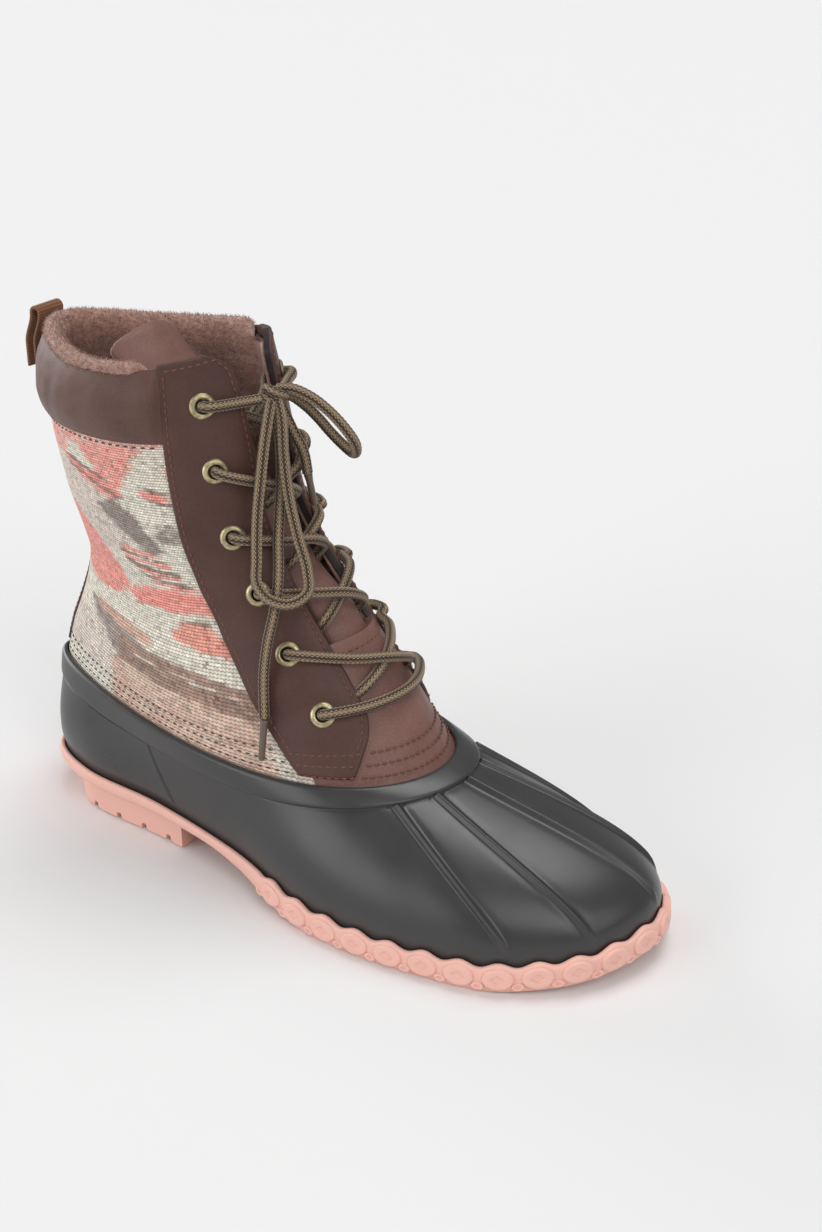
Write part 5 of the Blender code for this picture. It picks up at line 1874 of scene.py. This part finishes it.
@dataclass
class PullLoop:
    """Folded grosgrain ribbon on the back of the cuff."""

    width: float = 14.0
    tape: float = 1.3
    gap: float = 3.0
    foot_z: float = 186.0
    top_z: float = 212.0
    lean: float = 4.0
    seat_level: float = 0.86
    corner: float = 0.6
    rib_mm: float = 1.1
    caramel: str = "#8A5C3C"

    def legs(self, seat: float, reach: float) -> Array:
        """Line of the tape from its front foot over the crown to its rear foot.

        Args:
            seat: Where the cuff's face is, along X.
            reach: Half the distance of its legs.

        Returns:
            X and Z of each point.
        """
        bow = self.gap / 2 + self.tape
        middle, crown_z = seat - bow, self.top_z - bow
        rise = np.linspace(self.foot_z, crown_z, 16)
        lean = self.lean * fade(rise, self.top_z - 16, crown_z)
        arc = np.linspace(0.0, math.pi, 15)[1:-1]
        front = np.stack([middle + lean + reach, rise], -1)
        crown = np.stack([middle + self.lean + reach * np.cos(arc), crown_z + reach * np.sin(arc)], -1)
        rear = np.stack([middle + lean - reach, rise], -1)[::-1]
        return np.concatenate([front, crown, rear])

    def build(self, cuff: Overlays) -> None:
        """Tape with soft edges, ribbed across.

        Args:
            cuff: The overlays that it sits on.
        """
        level = np.array(self.seat_level)
        seat = LAST.skin(0.0, level, table(cuff.cuff_pad, level)[0] + 2 * FIT_GAP)[0]
        shares = rounded_shares(self.width, self.corner, 1.2)
        thin = roll_off(np.minimum(shares, 1 - shares) * self.width, self.corner)
        middle = self.gap / 2 + self.tape / 2
        grids = []
        for way in (1, -1):
            rows = [self.legs(seat, middle + way * self.tape / 2 * (0.4 + 0.6 * t)) for t in thin]
            grid = np.insert(np.stack(rows), 1, 0.0, -1)
            grid[..., 1] = (shares[:, None] - 0.5) * self.width
            grids.append(grid)
        made = wall(*grids)
        piece = make_piece("pull_ribbon", made, [RIBBON.material()])
        merge_and_turn(piece, sharp_deg=60.0)
        run = run_of(np.pad(self.legs(seat, middle), ((0, 0), (0, 1))))
        give_uv(piece, np.stack([shares[made.cell[:, 0]] * 10.0, run[made.cell[:, 1]] / self.rib_mm], -1))
        tone = np.random.default_rng(2).normal(1.0, 0.05, (len(piece.data.polygons), 1))
        give_yarn(piece, np.array(linear(self.caramel)) * tone)
        dress(piece, RIBBON.slot, "pull_loop")


@dataclass
class EyeletSet:
    """Twelve brass eyelets with rolled flanges."""

    bore: float = 2.6
    flange: float = 5.0
    seat: float = 2.0
    sides: int = 36

    def build(self) -> None:
        """Rolled flange on the eyestay and a tube through it."""
        bore, flange, seat = self.bore, self.flange, self.seat
        profile = [(bore, -UPPER_WALL), (bore, seat + 0.3), (bore + 0.1, seat + 0.7),
                   (bore + 0.35, seat + 0.98), (bore + 0.8, seat + 1.1), (bore + 1.5, seat + 1.0),
                   (flange - 0.5, seat + 0.72), (flange - 0.15, seat + 0.42), (flange, seat + 0.15),
                   (flange - 0.12, seat - 0.1), (bore + 0.5, seat - 0.1), (bore + 0.5, -UPPER_WALL)]
        turns, levels = np.array(LAST.eyelets()).T
        base = LAST.skin(turns, levels, 0.0)
        up = unit(LAST.skin(turns, levels, 1.0) - base)
        along = unit(LAST.skin(turns + 1, levels, 0.0) - base)
        piece = set_copies("brass_eyelets", Copies(base, along, up), lathe(profile[::-1], self.sides), BRASS)
        nodes = [f"eyelet_{side.value}_{k}" for side in Side for k in range(1, 7)]
        dress(piece, BRASS.slot, *nodes)


KNOT_MIDDLE = (115.8, -0.5, 195.2)
BOW = {
    "lace_loop_1": (
        (115.6, -2, 194.5), (118, -6.6, 191.5), (119.5, -11.5, 183), (120.5, -16.5, 168.5),
        (122, -21.8, 152.5), (125, -26.8, 138.5), (127.5, -30.2, 131), (134, -31.2, 126.3),
        (141, -27, 124.8), (144, -20.5, 128), (141.5, -17, 134.5), (135.5, -14, 145),
        (129.5, -11, 158.5), (125.5, -8.5, 175), (121.5, -4.2, 189), (117.5, -1.5, 195.2)),
    "lace_end_1": (
        (115.4, -0.5, 195), (116.5, -1.5, 188.3), (119.5, -3, 179), (122, -6, 168),
        (124.5, -11, 154), (127.5, -16.5, 143.5), (130, -20, 136), (132.8, -24.6, 128.4),
        (133.9, -28.8, 119.9), (133, -32, 109.5), (132.5, -34.5, 97.5), (135.5, -39.2, 80)),
    "lace_loop_2": (
        (115.4, 1, 194.4), (118, 5.5, 193.5), (121, 10.5, 189), (124, 15.5, 182.5),
        (126.8, 19.5, 176), (130.3, 21.6, 171.5), (135.5, 20.8, 169.3), (140, 17.5, 171.2),
        (142.3, 13.8, 176.5), (139.8, 10.8, 183), (134, 8.5, 189.5), (127.5, 6, 194.5),
        (121, 3.5, 197), (115.6, 1.5, 196.6)),
    "lace_end_2": (
        (115.8, 1.2, 193), (116.4, 3.4, 188.2), (119.7, 4.9, 180), (122.5, 7.5, 171), (123, 9, 162)),
}
AGLETS = {
    "lace_end_1": ((135.6, -39.4, 79.4), (137.2, -44.2, 64)),
    "lace_end_2": ((123.1, 9.1, 161.4), (124.6, 11, 148)),
}


@dataclass
class Lace:
    """Round braided lace: sixteen columns of stitches in tan and brown, through the eyelets to a bow."""

    step: float = 0.42
    columns: int = 16
    column_sides: int = 2
    stitch: float = 1.7
    relief: float = 0.2
    tan: str = "#A38C6F"
    brown: str = "#44342C"
    over_stay: float = 4.65
    over_eyelet: float = 5.95
    under_wall: float = -5.2
    over_vamp: float = 2.85
    edge_clear: float = 4.6
    cross_lift: float = 2.2
    dive: tuple = ((0.0, -1.0), (0.012, -3.6), (0.05, -5.0))
    knot_radius: float = 1.95
    knot_half: Pair = (3.3, 3.9)
    tip_sides: int = 20
    top_bars: tuple = ((173.5, 0.848, 6.3), (187.5, 0.838, 5.2))

    def tube(self, name: str, line: Array, radius: float) -> Piece:
        """Braided tube along a line, closed at both ends.

        Args:
            name: The piece's name.
            line: Points along its middle.
            radius: Its radius.

        Returns:
            The piece.
        """
        sides = self.columns * self.column_sides
        ahead = unit(np.gradient(line, axis=0))
        frames = [unit(np.cross(ahead[0], (0.31, 0.87, 0.38)))]
        for way in ahead[1:]:
            frames.append(unit(frames[-1] - way * (frames[-1] @ way)))
        side = np.array(frames)
        other = np.cross(ahead, side)
        k = np.arange(sides)
        angle = k * 2 * math.pi / sides
        run = run_of(line)[:, None] / self.stitch
        slant = np.where(k // self.column_sides % 2 == 0, 1.0, -1.0)
        inside_column = (k % self.column_sides) / self.column_sides
        tooth = np.abs(np.sin(np.pi * (run + slant * (inside_column - 0.5) * 1.1)))
        swell = np.where(k % self.column_sides == 0, 0.35, 1.0) * tooth ** 0.6
        reach = radius - self.relief + self.relief * swell
        spokes = side[:, None] * np.cos(angle)[:, None] + other[:, None] * np.sin(angle)[:, None]
        made = swept(line[:, None] + spokes * reach[..., None], True)
        piece = make_piece(name, made, [BRAID.material()])
        pair = k // self.column_sides // 2 % 2
        edge = np.isin(k % (2 * self.column_sides), (0, 2 * self.column_sides - 1))
        phase = (run[:-1] + slant * 0.25) % 1.0
        is_tan = np.where(edge, phase < 0.5, pair == 0)
        base = np.where(is_tan[..., None], linear(self.tan), linear(self.brown))
        # Painted shade: each stitch's colour darkens towards the gaps between stitches, on top of its relief
        shade = 0.35 + 0.65 * ((tooth[:-1] + tooth[1:]) / 2) ** 0.8
        give_yarn(piece, np.concatenate([(base * shade[..., None]).reshape(-1, 3), base[0, :2]]))
        give_uv(piece, np.stack(np.broadcast_arrays(k[None] / self.column_sides, run), -1).reshape(-1, 2))
        return piece

    def way(self, start: Place, end: Place, rows: list[Pair]) -> list[Array]:
        """Points between two places; rows give the share of the way and the height."""
        return [LAST.skin(start.turn + (end.turn - start.turn) * share,
                          start.level + (end.level - start.level) * share, height) for share, height in rows]

    def edge_shares(self, start: Place, end: Place, clear: float) -> Pair:
        """Shares of the way at which it is clear of the near and of the far eyestay.

        Args:
            start: The eyelet it comes from.
            end: The eyelet it goes to.
            clear: Turn between it and an eyestay's edge.

        Returns:
            The two shares.
        """
        level = np.array((start.level + end.level) / 2)
        sides = (Side.LATERAL, Side.MEDIAL) if start.turn < end.turn else (Side.MEDIAL, Side.LATERAL)
        clear = clear if start.turn < end.turn else -clear
        near, far = (float(LAST.stay(level, side)[1]) for side in sides)
        return tuple((turn - start.turn) / (end.turn - start.turn) for turn in (near + clear, far - clear))

    def crossing(self, number: int, start: Place, end: Place, lift: float) -> list[Array]:
        """Strand from the inside of one eyelet to the next eyelet on the other side.

        Args:
            number: Which crossing, 1 at the top.
            start: The eyelet it comes from.
            end: The eyelet it goes to.
            lift: How far its middle is raised.

        Returns:
            Points along it.
        """
        if number == 1:
            deep = self.under_wall
            rows = [*self.dive, (0.14, deep), (0.5, deep + lift), (0.86, deep)]
            rows += [(1 - share, height) for share, height in self.dive[::-1]]
            return self.way(start, end, rows)
        first, over = self.edge_shares(start, end, self.edge_clear)
        middle = (first + over) / 2
        if number == 5:
            rows = [(0.0, 0.8), (0.02, -0.6), (first * 0.45, -0.8), (first * 0.72, -0.3)]
            rows.append((first, self.over_vamp))
            height = self.over_vamp + max(0.0, lift) * 1.6 + 0.3
        else:
            rows = [*self.dive, (first * 0.55, -5.1), (first * 0.8, -4.2), (first, 0.2)]
            height = 2.6 + lift
        rows += [(middle, height), (over, self.over_stay), (over + 0.12, self.over_stay)]
        rows += [(0.89, self.over_eyelet - 0.2), (0.955, self.over_eyelet - 0.6), (0.988, 3.9), (1.0, 1.6)]
        return self.way(start, end, rows)

    def runs(self) -> Array:
        """Route of the whole laced length, from the medial top bar down and up to the lateral one.

        Returns:
            Points along the route.
        """
        spots = LAST.eyelets()
        lateral, medial = spots[:6], spots[6:]
        chains = []
        for first in (0, 1):
            sides = (lateral, medial) if first == 0 else (medial, lateral)
            route: list[Array] = []
            for number in range(5, 0, -1):
                start, end = sides[(5 - number) % 2][number], sides[(6 - number) % 2][number - 1]
                sign = 1.0 if (number + first) % 2 == 0 else -1.0
                route += self.crossing(number, start, end, sign * self.cross_lift)
            top = sides[1][0]
            end_turn, end_level, end_height = self.top_bars[1 if first == 0 else 0]
            rows = [(0.0, 1.6), (0.02, 3.9), (0.06, 5.3), (0.14, self.over_eyelet - 0.2),
                    (0.45, self.over_stay), (0.8, self.over_stay), (1.0, end_height)]
            route += self.way(top, Place(end_turn, end_level), rows)
            chains.append(route)
        rise = [(0.0, 2.8), (0.02, 4.6), (0.09, self.over_eyelet - 0.4), (0.22, self.over_stay)]
        fall = [(1 - share, height) for share, height in rise[::-1]]
        bar = [*rise, (0.5, self.over_stay), *fall]
        return np.array(chains[0][::-1] + self.way(lateral[5], medial[5], bar) + chains[1])

    def build_runs(self) -> None:
        """The laced length as one tube."""
        piece = self.tube("lace_through_eyelets", smooth_line(self.runs(), self.step), LACE_RADIUS)
        nodes = ["lace_bar_low", "lace_bar_top_lateral", "lace_bar_top_medial"]
        dress(piece, BRAID.slot, *nodes, *(f"lace_crossing_{k}" for k in range(1, 6)))

    def build_knot(self) -> None:
        """Two wraps of the lace round the bow's middle."""
        angle = np.linspace(-0.6 * math.pi, 1.9 * math.pi, 50)
        x, y = self.knot_half[0] * np.cos(angle), self.knot_half[1] * np.sin(angle)
        route = np.array(KNOT_MIDDLE) + np.stack([x, y, np.linspace(2.2, -1.8, 50) - 0.3 * x - 0.3 * y], -1)
        piece = self.tube("lace_knot_wraps", smooth_line(route, self.step), self.knot_radius)
        dress(piece, BRAID.slot, "lace_knot")

    def build_bow(self) -> None:
        """Loops and ends, each a free cord, with moulded tips on the ends."""
        for name, route in BOW.items():
            line = smooth_line(route, self.step)
            piece = self.tube(name.replace("lace_", "bow_"), line, LACE_RADIUS)
            dress(piece, BRAID.slot, name)
            tips = [self.build_tip(name)] if name in AGLETS else []

    def build_tip(self, name: str) -> Piece:
        """Tapered tip over the lace's end.

        Args:
            name: The end that it is on.

        Returns:
            The piece.
        """
        ends = np.array(AGLETS[name])
        length = float(np.linalg.norm(ends[1] - ends[0]))
        ring = np.array([(0.0, 0.0), (1.5, 0.0), (1.75, 0.4), (1.6, 1.4), (1.42, 3.0), (1.3, length - 1.2),
                         (1.1, length - 0.4), (0.0, length)])
        way = unit(ends[1] - ends[0])
        side = unit(np.cross(way, (0.0, 1.0, 0.2)))
        angle = np.linspace(0, 2 * math.pi, self.tip_sides, endpoint=False)
        spokes = side * np.cos(angle)[:, None] + np.cross(way, side) * np.sin(angle)[:, None]
        made = swept(ends[0] + ring[:, None, 1:] * way + ring[:, None, :1] * spokes)
        number = name[-1]
        piece = make_piece(f"lace_tip_{number}", made, [AGLET.material()])
        merge_and_turn(piece, CRISP_DEG)
        dress(piece, AGLET.slot, f"aglet_{number}")
        return piece


class Thread(Enum):
    """Threads of the seams: what they are sewn on, pitch, half length and half width of a stitch."""

    LEATHER = ("leather", 3.0, 1.15, 0.4)
    CLOTH = ("cloth", 4.0, 1.15, 0.3)


class SeamRow(NamedTuple):
    """A row of stitches: its thread, its places and its height over the skin."""

    thread: Thread
    turn: Array
    level: Array | float
    height: Array | float


@dataclass
class Seams:
    """Rows of lock stitches along the panels' edges."""

    foot_levels: tuple[float, ...] = (0.014, 0.031, 0.048)
    stay_levels: Pair = (0.052, 0.995)
    stay_top: float = 0.998
    hem_level: float = 0.752
    vamp_level: float = 0.187
    vamp_turns: Pair = (161.0, 203.0)
    back_levels: Pair = (0.03, 0.75)
    sink: float = 0.15
    bead: tuple = ((0.0, -1.0), (0.55, -0.85), (0.95, -0.4), (1.0, 0.0), (0.95, 0.4), (0.55, 0.85),
                   (0.0, 1.0))
    bead_sides: int = 8

    def shape(self, thread: Thread) -> Wall:
        """One stitch: a low bead that dips at both ends.

        Args:
            thread: Its thread.

        Returns:
            The stitch.
        """
        _, _, half_length, half_width = thread.value
        ring = np.array(self.bead)
        angle = np.linspace(0, 2 * math.pi, self.bead_sides, endpoint=False)
        x = np.repeat(ring[:, 1:] * half_length, self.bead_sides, 1)
        y = ring[:, :1] * np.cos(angle) * half_width
        z = ring[:, :1] * np.sin(angle) * half_width - 0.2 * np.abs(ring[:, 1:]) ** 3
        return swept(np.stack([x, y, z], -1))

    def stay_rows(self, side: Side) -> list[SeamRow]:
        """Rows inside an eyestay's edges: the outer one, its foot, the inner one and the top.

        Args:
            side: The eyestay's side.

        Returns:
            The rows.
        """
        levels = np.linspace(*self.stay_levels, 200)
        outer, inner = LAST.stay(levels, side)
        way = np.sign(inner - outer)
        outer, inner = outer + way * SEAM_INSET / TURN_MM, inner - way * SEAM_INSET / TURN_MM
        top = FIT_GAP + STAY_THICK - 0.05
        rows = [SeamRow(Thread.LEATHER, outer, levels, top)]
        for level in self.foot_levels:
            foot = LAST.stay(np.array(level), side)
            ends = (float(foot[0] + way[0] * 1.6), float(foot[1] - way[0] * 0.8))
            rows.append(SeamRow(Thread.LEATHER, np.linspace(*ends, 60), level, top))
        rows.append(SeamRow(Thread.LEATHER, inner, levels, top))
        rows.append(SeamRow(Thread.LEATHER, np.linspace(outer[-1], inner[-1], 40), self.stay_top, top))
        return rows

    def rows(self, cuff: Overlays) -> list[SeamRow]:
        """Every row of stitches on the boot.

        Args:
            cuff: The overlays that are sewn on.

        Returns:
            The rows.
        """
        rows = [row for side in Side for row in self.stay_rows(side)]
        shares = np.linspace(0.02, 0.98, 260)
        level = np.full(260, CUFF_STITCH)
        turns = cuff.cuff_turns(level, shares)
        rows.append(SeamRow(Thread.LEATHER, turns, level, cuff.cuff_height(turns, level, shares) - 0.5))
        edge = LAST.stay(np.array(0.75), Side.LATERAL)[0] - 1.5
        rows.append(SeamRow(Thread.CLOTH, np.linspace(-edge, edge, 260), self.hem_level, self.sink))
        for level in self.foot_levels:
            outer, inner = (float(turn) for turn in LAST.stay(np.array(level), Side.LATERAL))
            edge = outer - 1.5
            rows.append(SeamRow(Thread.CLOTH, np.linspace(-edge, edge, 300), level, self.sink))
            rows.append(SeamRow(Thread.LEATHER, np.linspace(inner + 2.0, 362.0 - inner, 120), level, 0.75))
        rows.append(SeamRow(Thread.LEATHER, np.linspace(*self.vamp_turns, 60), self.vamp_level, 0.95))
        for way in (-1, 1):
            turn = np.full(120, way * (cuff.back_half - SEAM_INSET))
            height = FIT_GAP + cuff.back_thick
            rows.append(SeamRow(Thread.LEATHER, turn, np.linspace(*self.back_levels, 120), height))
        return rows

    def build(self, cuff: Overlays) -> None:
        """Stitches of each thread as one piece.

        Args:
            cuff: The overlays that are sewn on.
        """
        spots: dict[Thread, list[Copies]] = {thread: [] for thread in Thread}
        for row in self.rows(cuff):
            line = LAST.skin(row.turn, row.level, row.height)
            run = run_of(line)
            pitch = row.thread.value[1]
            keys = np.arange(pitch / 2, run[-1], pitch)
            place = [np.interp(keys, run, values) for values in np.broadcast_arrays(*row[1:])]
            points = LAST.skin(*place)
            up = unit(LAST.skin(place[0], place[1], place[2] + 1.0) - points)
            ahead = np.stack([np.interp(keys + 0.3, run, line[:, a]) - np.interp(keys - 0.3, run, line[:, a])
                              for a in range(3)], -1)
            spots[row.thread].append(Copies(points, unit(ahead), up))
        uses = ((Thread.LEATHER, LEATHER_THREAD, "eyestay_lateral"), (Thread.CLOTH, CLOTH_THREAD, "upper"))
        for thread, finish, node in uses:
            joined = Copies(*(np.concatenate(values) for values in zip(*spots[thread])))
            piece = set_copies(f"stitches_on_{thread.value[0]}", joined, self.shape(thread), finish)
            dress(piece, finish.slot, node)


class Window(NamedTuple):
    """A wide soft light far away: the side that it stands on, its width in degrees and its strength."""

    name: str
    spot: tuple[float, float, float]
    wide_deg: float
    strength: float


@dataclass
class Studio:
    """Pale floor, soft light and a camera at the photo's angle; pixels are the photo's, 822 by 1232."""

    azimuth: float = 34.04
    elevation: float = 25.96
    distance: float = 765.82
    focal_px: float = 1836.2
    height_px: float = 1232.0
    target: tuple[float, float, float] = (140.0, 54.54, 86.55)
    roll: float = -0.27
    floor_half: float = 8.0
    floor_colour: str = "#E7E7E7"
    sky: float = 0.3
    windows: tuple[Window, ...] = (
        Window("top_window", (0.0, 0.3, 0.95), 34.0, 1.25),
        Window("left_window", (-0.5, -0.85, 0.3), 45.0, 1.1),
        Window("heel_window", (-0.95, 0.15, 0.15), 40.0, 1.5),
        Window("front_window", (0.5, -0.45, 0.72), 36.0, 0.75),
        Window("toe_window", (0.85, -0.15, 0.5), 40.0, 0.45))

    def build_camera(self) -> None:
        """Camera that frames the boot as the photo does."""
        a, e = math.radians(self.azimuth), math.radians(self.elevation)
        back = Vector((math.sin(a) * math.cos(e), -math.cos(a) * math.cos(e), math.sin(e)))
        spot = Vector(placed(self.target)) + back * self.distance * MM
        data = bpy.data.cameras.new("camera")
        data.sensor_fit = "VERTICAL"
        data.lens = self.focal_px / self.height_px * data.sensor_height
        data.clip_start, data.clip_end = 0.01, 50.0
        camera = bpy.data.objects.new("camera", data)
        turned = (-back).to_track_quat("-Z", "Y").to_matrix().to_4x4()
        roll = Matrix.Rotation(math.radians(self.roll), 4, "Z")
        camera.matrix_world = Matrix.Translation(spot) @ turned @ roll
        bpy.context.scene.collection.objects.link(camera)
        bpy.context.scene.camera = camera

    def build_light(self) -> None:
        """World and windows."""
        world = bpy.data.worlds.new("studio")
        world.use_nodes = True
        world.node_tree.nodes["Background"].inputs["Color"].default_value = (1.0, 1.0, 1.0, 1.0)
        world.node_tree.nodes["Background"].inputs["Strength"].default_value = self.sky
        bpy.context.scene.world = world
        for window in self.windows:
            data = bpy.data.lights.new(window.name, "SUN")
            data.angle, data.energy = math.radians(window.wide_deg), window.strength
            light = bpy.data.objects.new(window.name, data)
            light.matrix_world = (-Vector(window.spot)).to_track_quat("-Z", "Y").to_matrix().to_4x4()
            bpy.context.scene.collection.objects.link(light)
        bpy.context.scene.view_settings.view_transform = "Standard"

    def build_floor(self) -> None:
        """Pale paper floor."""
        half = self.floor_half
        corners = [(-half, -half, 0), (half, -half, 0), (half, half, 0), (-half, half, 0)]
        mesh = bpy.data.meshes.new("floor")
        mesh.from_pydata(corners, [], [(0, 1, 2, 3)])
        floor = bpy.data.objects.new("floor", mesh)
        material = bpy.data.materials.new("paper_sweep")
        material.use_nodes = True
        shader = material.node_tree.nodes["Principled BSDF"]
        shader.inputs["Base Color"].default_value = rgba(self.floor_colour)
        shader.inputs["Roughness"].default_value = 0.9
        shader.inputs["Specular IOR Level"].default_value = 0.1
        mesh.materials.append(material)
        bpy.context.scene.collection.objects.link(floor)


def main() -> None:
    """Build the studio and every piece in order."""
    logging.basicConfig(level=logging.INFO, format="%(name)s %(message)s")
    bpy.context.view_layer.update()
    studio = Studio()
    studio.build_camera()
    studio.build_floor()
    studio.build_light()
    lace = Lace()
    lace.build_bow()
    lace.build_knot()
    lace.build_runs()
    sole = Outsole()
    sole.build()
    sole.build_heel()
    sole.build_rim_links()
    sole.build_tread()
    RubberShell().build()
    upper = Upper()
    upper.build_cloth()
    upper.build_vamp()
    overlays = Overlays()
    for side in Side:
        overlays.build_eyestay(side)
    overlays.build_cuff()
    overlays.build_back_strip()
    lining = Lining()
    lining.build()
    lining.build_insole()
    Tongue().build()
    PullLoop().build(overlays)
    EyeletSet().build()
    Seams().build(overlays)


if __name__ == "__main__":
    main()
